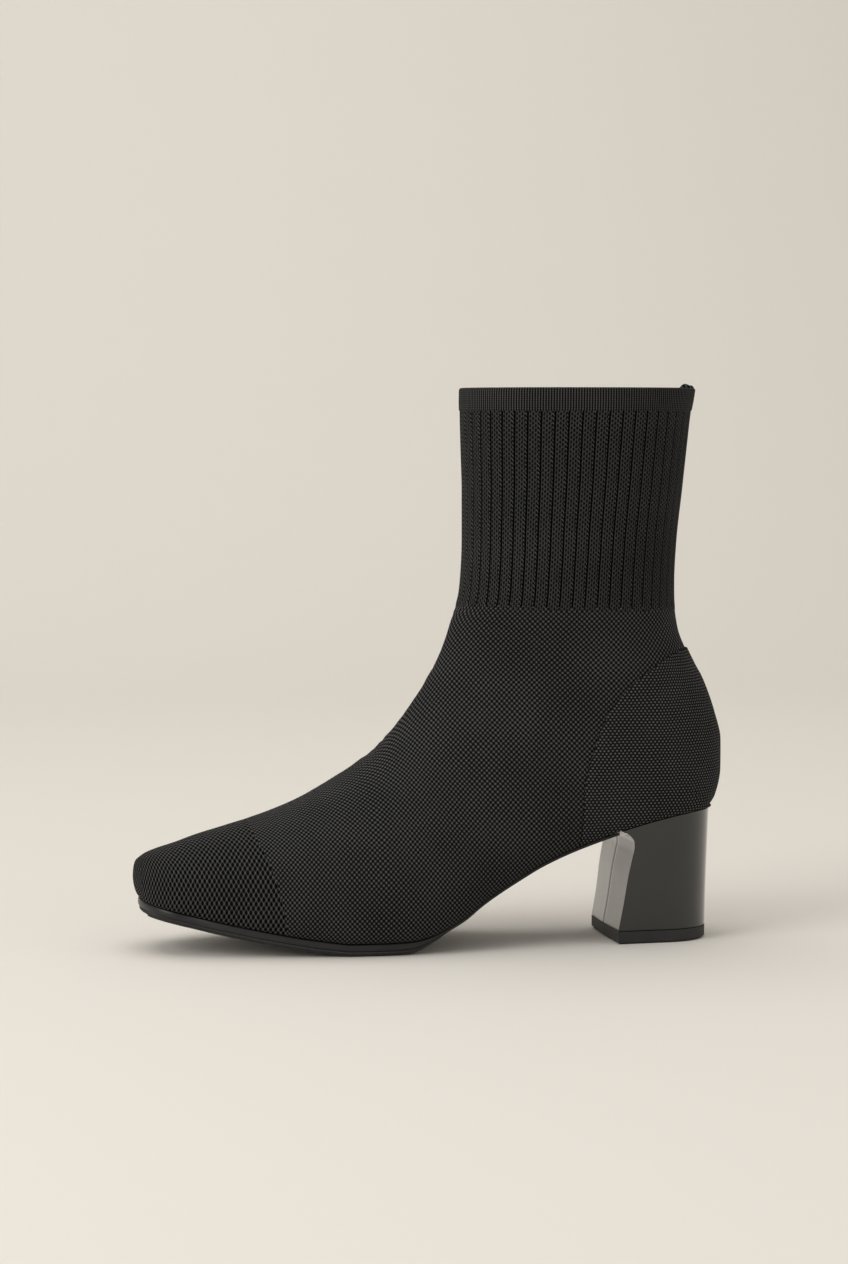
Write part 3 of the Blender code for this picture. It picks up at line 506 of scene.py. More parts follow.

# %% [markdown]
# ## The knits
#
# The boot has four knits. The foot is a pique: small raised stitches set in a staggered lattice,
# about 1.4 mm apart, with holes between that are painted dark as shade, while the stitches are
# painted light as highlight. The toe has the same stitches with real eyelets.
# The heel patch has flatter stitches in close level rows. The shaft has plain wales. Each one is
# a product of two waves along the UV map, which is in millimetres, so each pitch is a real one. A
# weave could be an image, but waves stay sharp at any distance and repeat nowhere.

# %% A staggered knit
PIQUE_ACROSS, PIQUE_ALONG = 2.1, 2.2
MESH_ACROSS, MESH_ALONG = 2.4, 3.6


def knit_uv(tree, wobble):
    """The two UV axes in mm, each bent a little by noise, as a knit is never quite straight."""
    uv = add_node(tree, "ShaderNodeUVMap", {"uv_map": "knit_mm"}).outputs[0]
    noise = add_node(tree, "ShaderNodeTexNoise", Vector=uv, Scale=0.11, Detail=2.0).outputs[1]
    moved = add_node(tree, "ShaderNodeVectorMath", {"operation": "MULTIPLY_ADD"},
                     in_0=noise, in_1=(wobble, wobble, 0.0), in_2=uv).outputs[0]
    split = add_node(tree, "ShaderNodeSeparateXYZ", in_0=moved)
    return split.outputs[0], split.outputs[1], uv


def wave(tree, value, pitch, shift=0.0):
    """A cosine wave of this pitch in mm."""
    turned = maths(tree, "MULTIPLY_ADD", value, 2 * math.pi / pitch, shift)
    return maths(tree, "COSINE", turned)


def yarn_tone_and_painted_light(tree, uv, height, dark, light, patch_scale=0.035):
    """Knit colour: painted shade in holes, painted highlight on stitches, a little uneven overall."""
    uneven = add_node(tree, "ShaderNodeTexNoise", Vector=uv, Scale=patch_scale,
                      Detail=3.0).outputs[0]
    fibre = add_node(tree, "ShaderNodeTexNoise", Vector=uv, Scale=2.6, Detail=2.0).outputs[0]
    spread = maths(tree, "MULTIPLY_ADD", uneven, 0.2, -0.1)
    spread = maths(tree, "MULTIPLY_ADD", fibre, 0.5, maths(tree, "ADD", spread, -0.25))
    value = maths(tree, "ADD", height, spread)
    # The dark stop is painted shade in the holes and the light stop painted highlight on the raised
    # stitches; the noise is the yarn's own uneven tone.
    return ramp(tree, value, ((0.44, dark), (0.95, light)))


def knit_material(name, dark, light, bump_mm, pattern, roughness=0.82, wobble=0.8):
    """A knit whose raised stitches come from pattern, a function of the two UV axes."""
    material, tree, shader = new_material(name, roughness)
    across, along, uv = knit_uv(tree, wobble)
    height = pattern(tree, across, along, uv)
    # The height also sets the colour: painted highlight on the raised stitches, painted shade in the
    # holes.
    colour = yarn_tone_and_painted_light(tree, uv, height, dark, light)
    bump = add_node(tree, "ShaderNodeBump", Height=height, Strength=1.0, Distance=bump_mm * MM)
    gleam = add_node(tree, "ShaderNodeMath", {"operation": "MULTIPLY", "use_clamp": True},
                     in_0=height, in_1=0.2)
    tree.links.new(colour, shader.inputs["Base Color"])
    tree.links.new(gleam.outputs[0], shader.inputs["Specular IOR Level"])
    tree.links.new(bump.outputs[0], shader.inputs["Normal"])
    return material


def pique(tree, across, along, uv):
    """Raised stitches in a staggered lattice."""
    lattice = maths(tree, "MULTIPLY", wave(tree, across, PIQUE_ACROSS),
                    wave(tree, along, PIQUE_ALONG))
    return maths(tree, "MULTIPLY_ADD", lattice, 0.5, 0.5)


def eyelet_mesh(tree, across, along, uv):
    """Round eyelets between loops: each lattice cell's hollow is low and takes painted shade."""
    lattice = maths(tree, "MULTIPLY", wave(tree, across, MESH_ACROSS), wave(tree, along, MESH_ALONG))
    loops = maths(tree, "MULTIPLY", wave(tree, across, 1.2), wave(tree, along, 1.8))
    both = maths(tree, "MULTIPLY_ADD", lattice, 0.62, maths(tree, "MULTIPLY", loops, 0.16))
    return maths(tree, "ADD", both, 0.52)


def level_rows(tree, across, along, uv):
    """Close rows round the heel, each of small stitches."""
    rows = wave(tree, along, 1.15)
    stitch = maths(tree, "MULTIPLY", wave(tree, across, 1.7), wave(tree, along, 2.3))
    both = maths(tree, "MULTIPLY_ADD", rows, 0.16, maths(tree, "MULTIPLY", stitch, 0.36))
    return maths(tree, "ADD", both, 0.5)


def rib_wales(tree, across, along, uv):
    """Five wales to a rib, where across counts ribs, a groove in painted shade and slanted loops beside
    it.
    """
    wales = wave(tree, across, 0.2, math.pi)
    courses = maths(tree, "MULTIPLY", wave(tree, across, 0.4), wave(tree, along, 1.9))
    both = maths(tree, "MULTIPLY_ADD", wales, 0.16, maths(tree, "MULTIPLY", courses, 0.26))
    beside = maths(tree, "POWER", maths(tree, "MAXIMUM", wave(tree, across, 1.0, -0.9), 0.0), 7.0)
    slanted = wave(tree, maths(tree, "MULTIPLY_ADD", across, -7.0, along), 1.7)
    both = maths(tree, "MULTIPLY_ADD", maths(tree, "MULTIPLY", beside, slanted), 0.4, both)
    # The groove sinks the bump and, through the colour ramp, paints shade into the groove.
    groove = maths(tree, "POWER", maths(tree, "MAXIMUM", wave(tree, across, 1.0), 0.0), 22.0)
    return maths(tree, "ADD", maths(tree, "MULTIPLY_ADD", groove, -0.6, both), 0.5)


def fine_wales(tree, across, along, uv):
    """Plain upright wales, 1.1 mm apart."""
    wales = wave(tree, across, 1.1)
    courses = wave(tree, along, 0.9)
    both = maths(tree, "MULTIPLY_ADD", wales, 0.36, maths(tree, "MULTIPLY", courses, 0.10))
    return maths(tree, "ADD", both, 0.5)


# Each knit's light colour is painted highlight on its raised stitches and its dark colour painted shade
# in its holes.
pique_knit = knit_material("black pique knit of the foot", "#0d0d0d", "#4f4f4e", 0.30, pique)
mesh_knit = knit_material("black eyelet knit of the toe", "#070707", "#464645", 0.36, eyelet_mesh)
patch_knit = knit_material("black close knit of the heel patch", "#0d0d0d", "#565655", 0.22,
                           level_rows)
rib_knit = knit_material("black ribbed knit of the shaft", "#0a0a0a", "#4a4a49", 0.20, rib_wales,
                         wobble=0.0)
band_knit = knit_material("black folded band", "#0a0a0a", "#484847", 0.16, fine_wales, wobble=0.1)
lining_knit = knit_material("black lining", "#080808", "#1c1c1b", 0.12, fine_wales)
print("six knits")


# %% [markdown]
# ## The toe
#
# The toe is knitted with eyelets that let air through, and it ends at a sharp line across the
# vamp. It is wrapped as a grid whose last row is that line. The line leans: it is further back
# at the sole than on the ridge, so for each column the row where it crosses is looked up.

# %% Where a line in side view crosses the skin
def crossing(turns, first, last, ahead_of_line):
    """For each way round, the section at which the skin passes a line in side view."""
    tries = np.linspace(first, last, 400)
    found = np.empty(len(turns))
    for n, turn in enumerate(turns):
        points = read_skin(skin, tries, np.full(len(tries), turn))
        ahead = ahead_of_line(points[:, 0] - TOE_X, points[:, 2])
        found[n] = tries[np.argmax(~ahead)] if (~ahead).any() else last
    return found


def ahead_of_toe_edge(along, up):
    return along < curve(column(TOE_EDGE, "up"), column(TOE_EDGE, "along"), up)


turn_table = np.linspace(-1, 1, 161)
toe_edge_table = crossing(turn_table, 5, 11, ahead_of_toe_edge)


def toe_edge_at(turn):
    return np.interp(turn, turn_table, toe_edge_table)


# %% The toe's mesh knit
EDGE_ROLL = 0.0009


def place_toe(along, around):
    turn = around * 2 - 1
    edge = toe_edge_at(turn) + 0.12
    section = -1 + (edge + 1) * along
    sunk = 0.0001 * ease(section, edge - 0.35, edge)
    return on_skin(section, turn, -sunk)


toe = wrapped("toe_eyelet_knit", 110, 150, place_toe, mesh_knit, weld=2e-6)
dress(toe, "knit", "upper")


# %% [markdown]
# ## The heel patch
#
# A second layer of close knit wraps the heel. Its front edge runs up from the sole and bends back
# over the ankle, and it stands half a millimetre proud. The patch is a grid too: its rows are
# the fanned sections, its columns run from under the heel to where its edge crosses each one.

# %% The patch's edge
def behind_seam(along, up):
    share = (up - SEAT_HEIGHT) / RISE
    seam = curve(column(COUNTER_SEAM, "up"), column(COUNTER_SEAM, "along"), share)
    return (along / LENGTH > seam) & (share < COUNTER_SEAM[-1].up)


PATCH_FIRST, PATCH_LAST = 19.0, RIB_FOOT - 1.8
patch_sections = np.linspace(PATCH_FIRST, PATCH_LAST, 220)


def patch_edge(side):
    """For each section, the way round (from 1 underfoot to 0 on the ridge) of the patch's edge."""
    shares = np.linspace(1, 0, 700)
    edge = []
    for section in patch_sections:
        points = read_skin(skin, np.full(len(shares), section), side * shares)
        inside = behind_seam(points[:, 0] - TOE_X, points[:, 2])
        inside[shares > 1 - UNDERFOOT * 0.5] = True
        edge.append(shares[np.argmax(~inside)] if (~inside).any() else 0.0)
    return np.array(edge)


seam_out, seam_in = patch_edge(-1), patch_edge(1)
top = patch_sections[np.argmax(seam_out > 0.985)] if (seam_out > 0.985).any() else PATCH_LAST
print(f"the patch's edge reaches the back at section {top:.2f}")


def seam_at(section, side):
    return np.interp(section, patch_sections, np.where(side < 0, 1, 0) * 0 + (
        seam_out if side < 0 else seam_in))


# %% The patch
def place_patch(along, around):
    section = PATCH_FIRST + (PATCH_LAST - PATCH_FIRST) * along
    turn = around * 2 - 1
    edge = np.where(turn < 0, seam_at(section, -1), seam_at(section, 1))
    spread = np.abs(turn)
    way = 1 - (1 - edge) * spread
    side = np.where(turn < 0, -1.0, 1.0)
    room = (1 - edge) * (1 - spread)
    here = read_skin(skin, section, side * way)
    off_seat = ease(here[:, 2] - feather_height(here[:, 0] - TOE_X), 0.0004, 0.005)
    height = COUNTER_STEP * (0.2 + 0.8 * ease(room, 0.0, 0.016)) * off_seat
    return on_skin(section, side * way, height)


HEEL_ARC = 34.0


def place_patch_uv(along, around):
    """The patch with level rows: its UV runs round the heel and straight up."""
    points, uv = place_patch(along, around)
    ahead = (LENGTH + TOE_X - points[:, 0]) / MM - HEEL_ARC
    across = points[:, 1] / MM
    turned = np.arctan2(across, np.maximum(-ahead, 1e-6)) * HEEL_ARC
    run = turned + np.sign(across) * np.maximum(ahead, 0.0)
    return points, np.stack([run, points[:, 2] / MM], axis=1)


patch = wrapped("heel_patch_knit", 200, 200, place_patch_uv, patch_knit, weld=2e-6)
dress(patch, "knit", "upper")

# %% [markdown]
# ## The foot
#
# The pique runs from the toe's edge, under the heel patch's edge, up to where the ribs start. It
# stays on the skin and dips by a hair beside each seam, which is what makes a seam read as a line.

# %% The pique
FOOT_TOP = RIB_FOOT + 0.35


def place_foot(along, around):
    turn = around * 2 - 1
    start = toe_edge_at(turn)
    section = start + (FOOT_TOP - start) * along
    dip = 0.0001 * (1 - ease(section - start, 0.0, 0.25))
    points, uv = on_skin(section, turn, -dip)
    edge = np.where(turn < 0, seam_at(section, -1), seam_at(section, 1))
    under_patch = ease(np.abs(turn) - edge, 0.0, 0.05)
    sunk = np.where(section > PATCH_FIRST, 0.0003 * (np.abs(turn) > edge - 0.006)
                    + 0.0014 * under_patch, 0.0)
    points -= read_skin(skin_out, section, turn) * sunk[:, None]
    return points, uv


foot = wrapped("foot_pique_knit", 290, 250, place_foot, pique_knit, weld=2e-6)
dress(foot, "knit", "upper")

# %% [markdown]
# ## The ribbed shaft
#
# Forty-eight ribs run from ankle to band. Each is wide and nearly flat, with a narrow groove
# beside it where the knit turns back. The grooves are real geometry, since they show in outline
# and catch the light: each rib has fourteen columns, most of them next to the groove.

# %% The ribs
GROOVE_DEPTH = 0.0009
RIB_COLUMNS = (0.0, 0.03, 0.06, 0.10, 0.16, 0.26, 0.40, 0.50, 0.60, 0.74, 0.84, 0.90, 0.94, 0.97)
RIB_START, RIB_END = RIB_FOOT + 0.0, BAND_FOOT + 0.06


def rib_phase(share):
    """Counts ribs, with the grid's even columns moved towards the grooves."""
    cells = share * RIB_COUNT * len(RIB_COLUMNS)
    rib = np.floor(cells / len(RIB_COLUMNS) + 1e-6)
    step = np.clip(np.rint(cells - rib * len(RIB_COLUMNS)), 0, len(RIB_COLUMNS) - 1).astype(int)
    return rib + np.array(RIB_COLUMNS)[step]


def place_shaft(along, around):
    phase = rib_phase(around)
    turn = phase / RIB_COUNT * 2 - 1
    section = RIB_START + (RIB_END - RIB_START) * along
    place = phase - np.floor(phase)
    near = np.minimum(place, 1 - place)
    groove = (1 - ease(near, 0.0, 0.13)) ** 1.3
    crown = 0.12 * MM * (1 - ease(np.abs(place - 0.5), 0.0, 0.5))
    grown = ease(along, 0.0, 0.07)
    height = (crown - GROOVE_DEPTH * groove) * grown
    points, uv = on_skin(section, turn, height)
    return points, np.stack([phase, points[:, 2] / MM], axis=1)


shaft = wrapped("ribbed_shaft_knit", 60, RIB_COUNT * len(RIB_COLUMNS), place_shaft, rib_knit,
                weld=2e-6)
dress(shaft, "knit", "upper")

# %% [markdown]
# ## The band at the collar
#
# The top is turned in and stitched down as a plain band with a soft rounded edge. Its profile is a
# short table: how far out of the skin and how far below the rim. The same profile, carried round
# the collar, gives the outside, the rim and the first stretch of the inside.

# %% The band
BAND_THICK = WALL + BAND_STEP
RIM = BAND_THICK / 2


def band_profile():
    """Out of the skin and below the rim, from the band's foot outside to its foot inside."""
    outside = [(-0.0006, BAND_HEIGHT + 0.0001), (0.0, BAND_HEIGHT + 0.0001),
               (BAND_STEP * 0.8, BAND_HEIGHT - 0.0002), (BAND_STEP, BAND_HEIGHT - 0.0007),
               (BAND_STEP * 1.2, BAND_HEIGHT * 0.6), (BAND_STEP * 1.1, BAND_HEIGHT * 0.3)]
    arc = []
    for turn in np.linspace(0, math.pi, 9):
        arc.append((BAND_STEP - RIM + RIM * math.cos(turn), RIM - RIM * math.sin(turn)))
    inside = [(-WALL, BAND_HEIGHT * 0.6), (-WALL * 1.05, BAND_HEIGHT), (-WALL * 0.6, BAND_HEIGHT * 1.05)]
    return np.array(outside + arc + inside)


profile = band_profile()


def place_band(along, around):
    row = np.clip(along * (len(profile) - 1), 0, len(profile) - 1)
    out = np.interp(row, range(len(profile)), profile[:, 0])
    below = np.interp(row, range(len(profile)), profile[:, 1])
    level = COLLAR - np.maximum(below, 0.0008) / BAND_HEIGHT
    turn = around * 2 - 1
    points, uv = on_skin(level, turn, out)
    points[:, 2] = COLLAR_HEIGHT - below
    walked = np.concatenate([[0], np.cumsum(np.hypot(*np.diff(profile, axis=0).T))])
    far = read_skin(round_mm, level, turn)
    return points, np.stack([far, np.interp(row, range(len(profile)), walked) / MM], axis=1)


band = wrapped("collar_band", (len(profile) - 1) * 2, 420, place_band, band_knit, weld=2e-6)
dress(band, "knit", "upper")

# %% The back seam's end
SEAM_HEIGHT, SEAM_WIDE, SEAM_LONG = 0.0019, 0.0034, 0.0055


def place_knot(along, around):
    """A soft knot of turned-in seam that stands on the rim at the back of the collar."""
    polar, turn = along * math.pi, around * 2 * math.pi
    rear = read_skin(skin, np.array([COLLAR - 0.02]), np.array([1.0]))[0]
    x = rear[0] - SEAM_LONG * 0.4 + SEAM_LONG * 0.62 * np.cos(polar)
    y = rear[1] + SEAM_WIDE * 0.5 * np.sin(polar) * np.cos(turn)
    lump = 1 + 0.16 * np.sin(polar * 5 + turn * 3)
    z = COLLAR_HEIGHT - 0.0008 + SEAM_HEIGHT * 1.25 * np.sin(polar) * np.sin(turn) * lump
    return np.stack([x, y, z], axis=1), np.stack([along * 6, around * 8], axis=1)


knot = wrapped("back_seam_end", 24, 28, place_knot, band_knit, weld=2e-6)
dress(knot, "knit", "upper")

# %% [markdown]
# ## The inside
#
# Looking down the collar shows the lining, a wall's thickness in from the skin. It is the same
# grid turned over, from the ball to the band.


# %% The lining
def place_lining(along, around):
    section = 2.0 + (BAND_FOOT + 0.1 - 2.0) * along
    turn = 1 - around * 2
    points, uv = on_skin(section, turn, np.full(len(turn), -WALL))
    return points, uv


lining = wrapped("lining", 150, 160, place_lining, lining_knit, weld=2e-6)
dress(lining, "knit", "upper")

# %% [markdown]
# ## The moulded sole
#
# The sole is one thin moulding: a smooth strip along its top edge, and below it a strip with fine
# upright serrations that ends where the arch lifts off. Its side is a grid that runs from the
# breast of the heel, round the toe and back, so the serrations are rows of real teeth.

# %% The sole's outline, walked round the toe
SOLE_END = BREAST_AT + BREAST[-1].back * HEEL_BASE_LENGTH - 0.0011
TOOTH_PITCH = 0.0007


def outline_walk():
    """The outer side from the heel to the toe, then the inner side back: x from the toe and y."""
    along = np.concatenate([np.linspace(SOLE_END, FEATHER_TIP + TOE_ROUND, 200)[:-1],
                            FEATHER_TIP + TOE_ROUND * (1 - np.sin(np.linspace(0, math.pi / 2, 90)))])
    half, middle = sole_half(along), sole_middle(along)
    outer = np.stack([along, middle - half], axis=1)
    inner = np.stack([along, middle + half], axis=1)[::-1]
    return np.concatenate([outer, inner[1:]])


walk = outline_walk()
walk_mm = np.concatenate([[0], np.cumsum(np.hypot(*np.diff(walk, axis=0).T))])
SOLE_RUN = walk_mm[-1]


def on_outline(distance, inset):
    """Points of the outline drawn in by inset, in x from the toe and y."""
    here = np.stack([np.interp(distance, walk_mm, walk[:, n]) for n in (0, 1)], axis=1)
    step = 0.0008
    low, high = np.clip(distance - step, 0, SOLE_RUN), np.clip(distance + step, 0, SOLE_RUN)
    way = np.stack([np.interp(high, walk_mm, walk[:, n]) - np.interp(low, walk_mm, walk[:, n])
                    for n in (0, 1)], axis=1)
    way /= np.maximum(np.linalg.norm(way, axis=1, keepdims=True), 1e-12)
    inward = np.stack([way[:, 1], -way[:, 0]], axis=1)
    centre = np.stack([np.full(len(here), LENGTH * 0.3), sole_middle(here[:, 0])], axis=1)
    inward *= np.sign(((centre - here) * inward).sum(axis=1))[:, None]
    return here + inward * np.asarray(inset)[:, None]


def sole_bottom(along):
    thickness = SOLE_THICKNESS + (WAIST_THICKNESS - SOLE_THICKNESS) * ease(along, *SOLE_THINS)
    return layer_height(along, -thickness)


# %% The sole's side
SolePoint = namedtuple("SolePoint", "down inset tooth")
SOLE_SIDE = (
    SolePoint(-0.02, 0.0030, 0), SolePoint(0.00, 0.0008, 0), SolePoint(0.02, 0.0002, 0),
    SolePoint(0.08, 0.0, 0), SolePoint(0.48, 0.0, 0), SolePoint(0.53, 0.0001, 0),
    SolePoint(0.55, 0.0007, 0), SolePoint(0.59, 0.0008, 0), SolePoint(0.62, 0.0005, 1),
    SolePoint(0.84, 0.0005, 1), SolePoint(0.92, 0.0009, 0.6), SolePoint(1.00, 0.0017, 0),
    SolePoint(1.00, 0.0030, 0),
)
TEETH_END = 0.112
teeth = int(SOLE_RUN / TOOTH_PITCH)


def place_side(along, around):
    row = around * (len(SOLE_SIDE) - 1)
    down, inset, tooth = (np.interp(row, range(len(SOLE_SIDE)), column(SOLE_SIDE, name))
                          for name in SolePoint._fields)
    distance = along * SOLE_RUN
    x = np.interp(distance, walk_mm, walk[:, 0])
    thin = 1 - ease(x, *SOLE_THINS)
    count = np.rint(along * teeth * 4) % 4
    cut = np.where((count == 0) | (count == 3), 0.00022, 0.0) * tooth * (1 - ease(
        x, TEETH_END - 0.003, TEETH_END))
    place = on_outline(distance, inset * (0.35 + 0.65 * thin) + cut)
    top_z, low_z = layer_height(x, -CLEARANCE), sole_bottom(x)
    z = top_z + (low_z - top_z) * down
    points = np.stack([place[:, 0] + TOE_X, place[:, 1], z], axis=1)
    return points, np.stack([distance, down * SOLE_THICKNESS], axis=1) / MM


# %% The rubber of the sole
def moulded_rubber(name, base, bright, roughness, grain_mm, bump_mm):
    """Rubber from a mould: even and satin, with a fine grain and faint rub marks."""
    material, tree, shader = new_material(name, roughness, Specular_IOR_Level=0.4)
    here = add_node(tree, "ShaderNodeTexCoord").outputs["Object"]
    grain = add_node(tree, "ShaderNodeTexNoise", Vector=here, Scale=1 / (grain_mm * MM),
                     Detail=3.0).outputs[0]
    rubbed = add_node(tree, "ShaderNodeTexNoise", Vector=here, Scale=90.0, Detail=4.0).outputs[0]
    mixed = maths(tree, "MULTIPLY_ADD", grain, 0.35, maths(tree, "MULTIPLY", rubbed, 0.65))
    colour = ramp(tree, mixed, ((0.3, base), (0.7, bright)))
    bump = add_node(tree, "ShaderNodeBump", Height=grain, Strength=0.6, Distance=bump_mm * MM)
    rough = maths(tree, "MULTIPLY_ADD", rubbed, 0.25, roughness - 0.12)
    tree.links.new(colour, shader.inputs["Base Color"])
    tree.links.new(rough, shader.inputs["Roughness"])
    tree.links.new(bump.outputs[0], shader.inputs["Normal"])
    return material


sole_rubber = moulded_rubber("black moulded rubber of the sole", "#121212", "#242423", 0.42, 0.6,
                             0.05)
lift_rubber = moulded_rubber("black hard rubber of the lift", "#1a1a19", "#2c2c2b", 0.6, 0.5, 0.08)
side = wrapped("sole_side", teeth * 4, (len(SOLE_SIDE) - 1) * 2, place_side, sole_rubber)
dress(side, "moulded_sole", "outsole")


# %% The tread and the sole's top face
def place_face(height, inset, upward):
    """A face across the sole between its two sides, at a height that is a function of x."""
    def place(along, around):
        share = np.sin(along * math.pi / 2)
        start, end = FEATHER_TIP + inset, SOLE_END
        x = start + (end - start) * (1 - share) if upward else end + (start - end) * share
        half = np.maximum(sole_half(x) - inset, 0.0)
        y = sole_middle(x) + half * (around * 2 - 1)
        points = np.stack([x + TOE_X, y, height(x)], axis=1)
        return points, np.stack([x, y], axis=1) / MM
    return place


tread = wrapped("sole_tread", 120, 24, place_face(sole_bottom, 0.0028, True), sole_rubber)
dress(tread, "moulded_sole", "outsole")

# %% [markdown]
# ## The block heel
#
# The heel is moulded plastic under a thick gloss lacquer: it mirrors the floor. Its outline is a
# straight breast, two sides and a round back, small at the lift and as wide as the seat at the
# top. Mirrors show every facet, so it is lofted finely here, with a soft edge at the breast.


# %% The heel's outline
def base_half(share):
    left = np.maximum(share - 0.42, 0.0) / (1 - 0.42)
    return HEEL_BASE_WIDTH / 2 * (1 - left ** 2.4) ** (1 / 2.4)


def heel_ring(share_round, up, inset=0.0):
    """Points round the heel at a height, from the middle of the breast round and home again."""
    back = curve(column(BREAST, "up"), column(BREAST, "back"), up)
    front = BREAST_AT + back * HEEL_BASE_LENGTH + inset
    rear = HEEL_REAR - inset
    side = np.where(share_round < 0.5, 1.0, -1.0)
    half_way = np.where(share_round < 0.5, share_round, 1 - share_round) * 2
    breast_share, edge = 0.24, 0.03
    turn = np.clip((half_way - breast_share) / (1 - breast_share), 0, 1)
    share = np.where(half_way < breast_share, 0.0, 1 - np.cos(turn * math.pi / 2) ** 1.4)
    x = front + (rear - front) * share
    seat = np.where(share < 0.9999, sole_half(x), 0.0)
    half = base_half(share) + (seat - base_half(share)) * up ** 1.4 - inset
    across = np.clip(half_way / breast_share, 0, 1)
    x = x - np.where(half_way < breast_share, 0.0008 * (1 - across), 0.0)
    y = half * across ** 0.9 * side
    return x, sole_middle(x) + y, half_way


print(f"breast of the heel {BREAST_AT / MM:.1f} mm from the toe")


# %% The heel's sides
HEEL_FOOT = LIFT_THICKNESS + CLEARANCE


def place_heel(around, up_share):
    up = np.clip((up_share - 0.04) / 0.92, 0.0, 1.0)
    inset = 0.0004 * ease(0.04 - up_share, -0.012, 0.04)
    cap = np.where((up_share < 0.005) | (up_share > 0.995), 0.0, 1.0)
    x, y, turn = heel_ring(around, up, inset)
    x = x + 0.00045 * (1 - ease(turn, 0.0, 0.006))
    z = HEEL_FOOT + (layer_height(x, -CLEARANCE) - HEEL_FOOT) * up
    middle_x = (BREAST_AT + HEEL_REAR) / 2
    x = middle_x + (x - middle_x) * cap
    y = y * cap
    points = np.stack([x + TOE_X, y, z], axis=1)
    return points, np.stack([around * 0.14, z], axis=1) / MM


# %% Gloss lacquer
def gloss_lacquer(name, base, bright):
    """Black plastic under clear lacquer: a mirror that is never quite flat."""
    material, tree, shader = new_material(
        name, 0.16, Coat_Weight=0.7, Coat_Roughness=0.03, Specular_IOR_Level=0.4)
    here = add_node(tree, "ShaderNodeTexCoord").outputs["Object"]
    swell = add_node(tree, "ShaderNodeTexNoise", Vector=here, Scale=70.0, Detail=1.5).outputs[0]
    dust = add_node(tree, "ShaderNodeTexNoise", Vector=here, Scale=900.0, Detail=2.0).outputs[0]
    rough = maths(tree, "MULTIPLY_ADD", dust, 0.16, 0.06)
    colour = ramp(tree, swell, ((0.3, base), (0.7, bright)))
    bump = add_node(tree, "ShaderNodeBump", Height=swell, Strength=0.5, Distance=0.25 * MM)
    tree.links.new(colour, shader.inputs["Base Color"])
    tree.links.new(rough, shader.inputs["Roughness"])
    tree.links.new(bump.outputs[0], shader.inputs["Normal"])
    tree.links.new(bump.outputs[0], shader.inputs["Coat Normal"])
    return material


heel_lacquer = gloss_lacquer("black gloss lacquer of the heel", "#121211", "#171716")
heel = wrapped("gloss_block_heel", 300, 90, place_heel, heel_lacquer, weld=2e-6)
dress(heel, "glossy_heel", "heel_block")


# %% The top lift
def place_lift(around, up_share):
    height = np.interp(up_share, (0, 0.15, 0.3, 0.85, 1.0),
                       (0, 0, 0.0008, LIFT_THICKNESS, LIFT_THICKNESS))
    inset = np.interp(up_share, (0, 0.15, 0.3, 0.85, 1.0), (0.0009, 0.0009, 0.0, 0.0, 0.0))
    x, y, turn = heel_ring(around, np.zeros(len(around)), inset)
    cap = np.interp(up_share, (0, 0.15, 0.85, 1.0), (0.0, 1.0, 1.0, 0.0))
    middle_x = (BREAST_AT + HEEL_REAR) / 2
    x, y = middle_x + (x - middle_x) * cap, y * cap
    points = np.stack([x + TOE_X, y, height], axis=1)
    return points, np.stack([around * 0.14, height], axis=1) / MM


lift = wrapped("top_lift_rubber", 240, 40, place_lift, lift_rubber, weld=2e-6)
dress(lift, "lift_rubber", "top_lift")

# %% The insole keeps its CAD mesh
insole_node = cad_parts["insole"]
insole_node.data.materials.clear()
insole_node.data.materials.append(moulded_rubber("black sock lining", "#171716", "#262625", 0.85,
                                                 0.9, 0.15))
print("insole keeps", len(insole_node.data.polygons), "faces")

# %% [markdown]
# ## Floor, light and camera
#
# A plain pale sweep with big soft lights shows a black object best: the sweep is what the lacquer
# mirrors, and the wide lights draw the knit without hard shadows. The camera stands where the
# photograph's stood, a little in front of the outer side and a hand above the ankle.


# %% The sweep
def painted_paper(name, code):
    material, tree, shader = new_material(name, 0.9, Specular_IOR_Level=0.2)
    shader.inputs["Base Color"].default_value = hex_colour(code)
    return material


def make_sweep():
    bm = bmesh.new()
    bmesh.ops.create_grid(bm, x_segments=1, y_segments=40, size=1.0)
    for vertex in bm.verts:
        share = (vertex.co.y + 1) / 2
        run = share * 5.0
        bend = min(max((run - 3.0) / 1.2, 0.0), 1.0) * math.pi / 2
        radius = 1.2 / (math.pi / 2)
        y = min(run, 3.0) + radius * math.sin(bend)
        z = radius * (1 - math.cos(bend)) + max(run - 4.2, 0.0)
        vertex.co = Vector((vertex.co.x * 4.0, y - 1.8, z))
    sweep = new_piece("paper_sweep", bm, painted_paper("pale beige paper", "#dfdad2"))
    return sweep


make_sweep()


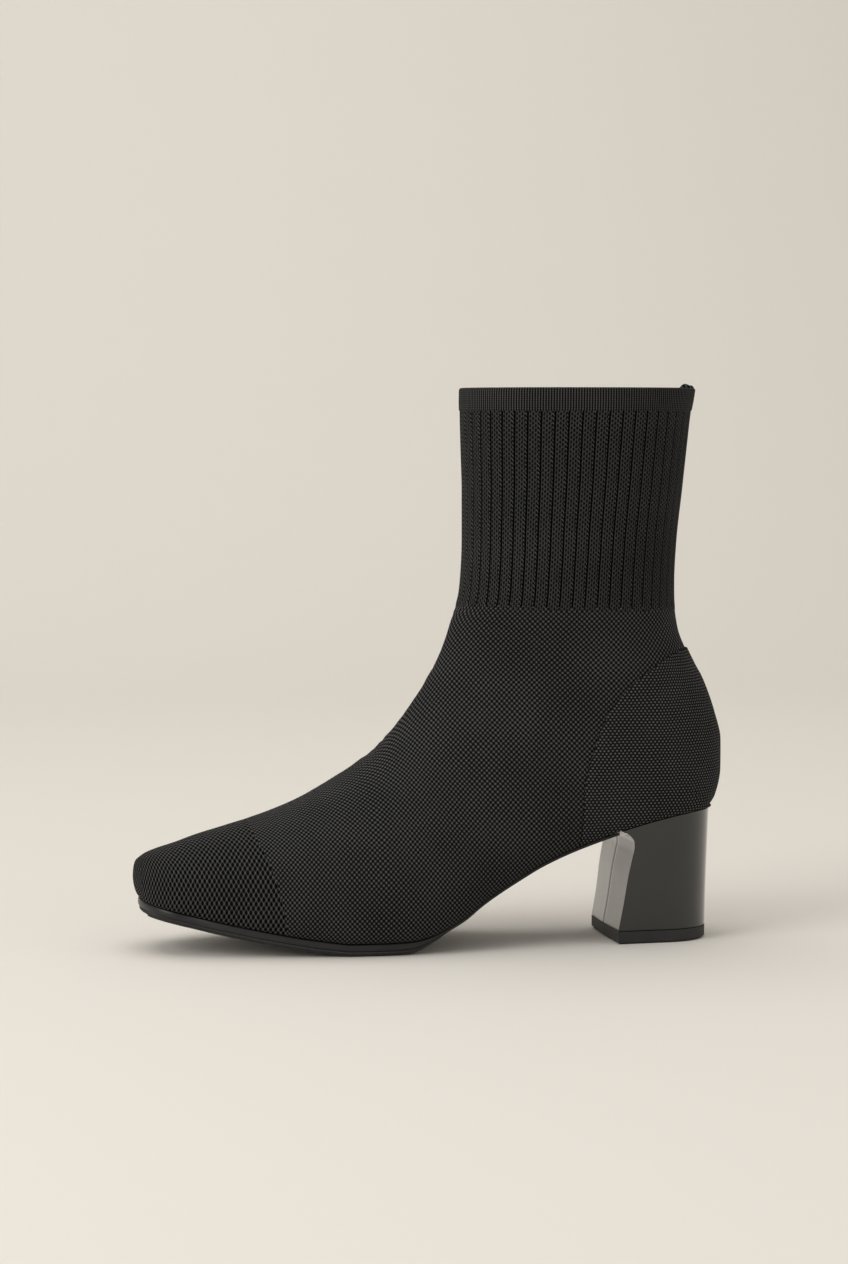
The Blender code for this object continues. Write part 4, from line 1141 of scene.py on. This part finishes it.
# %% Lights
def area_light(name, place, aim, size, power, colour="#ffffff"):
    data = bpy.data.lights.new(name, "AREA")
    data.shape = "RECTANGLE"
    data.size, data.size_y = size
    data.energy = power
    data.color = hex_colour(colour)[:3]
    light = bpy.data.objects.new(name, data)
    light.location = place
    light.rotation_euler = (Vector(aim) - Vector(place)).to_track_quat("-Z", "Y").to_euler()
    bpy.context.scene.collection.objects.link(light)


MIDDLE = (-0.1, 0.0, 0.1)
area_light("overhead_softbox", (-0.35, 0.05, 1.9), MIDDLE, (1.8, 1.6), 16)
area_light("left_softbox", (-1.6, -0.9, 0.9), MIDDLE, (1.0, 1.4), 17)
area_light("wall_softbox", (0.0, 1.1, 1.7), (0.0, 2.7, 0.8), (1.6, 0.8), 4.5)
area_light("right_softbox", (1.5, -0.8, 0.8), MIDDLE, (0.8, 1.2), 2)
world = bpy.data.worlds.new("studio")
bpy.context.scene.world = world
world.use_nodes = True
world.node_tree.nodes["Background"].inputs[0].default_value = hex_colour("#f3f0eb")
world.node_tree.nodes["Background"].inputs[1].default_value = 0.58

# %% The camera
AZIMUTH = math.radians(-11)
CAMERA_DISTANCE, CAMERA_HEIGHT = 1.28, 0.216
CAMERA_LOOKS_AT_X = -0.0979
PITCH = math.radians(3.9)
camera_data = bpy.data.cameras.new("camera")
camera_data.sensor_fit = "VERTICAL"
camera_data.sensor_height = 36.0
camera_data.lens = 88.57
camera = bpy.data.objects.new("camera", camera_data)
camera.location = (math.sin(AZIMUTH) * CAMERA_DISTANCE + CAMERA_LOOKS_AT_X,
                   -math.cos(AZIMUTH) * CAMERA_DISTANCE, CAMERA_HEIGHT)
looking = Vector((-math.sin(AZIMUTH) * math.cos(PITCH), math.cos(AZIMUTH) * math.cos(PITCH),
                  -math.sin(PITCH)))
camera.rotation_euler = looking.to_track_quat("-Z", "Y").to_euler()
bpy.context.scene.collection.objects.link(camera)
bpy.context.scene.camera = camera
bpy.context.scene.view_settings.view_transform = "Standard"
print("camera at", [round(v, 3) for v in camera.location])
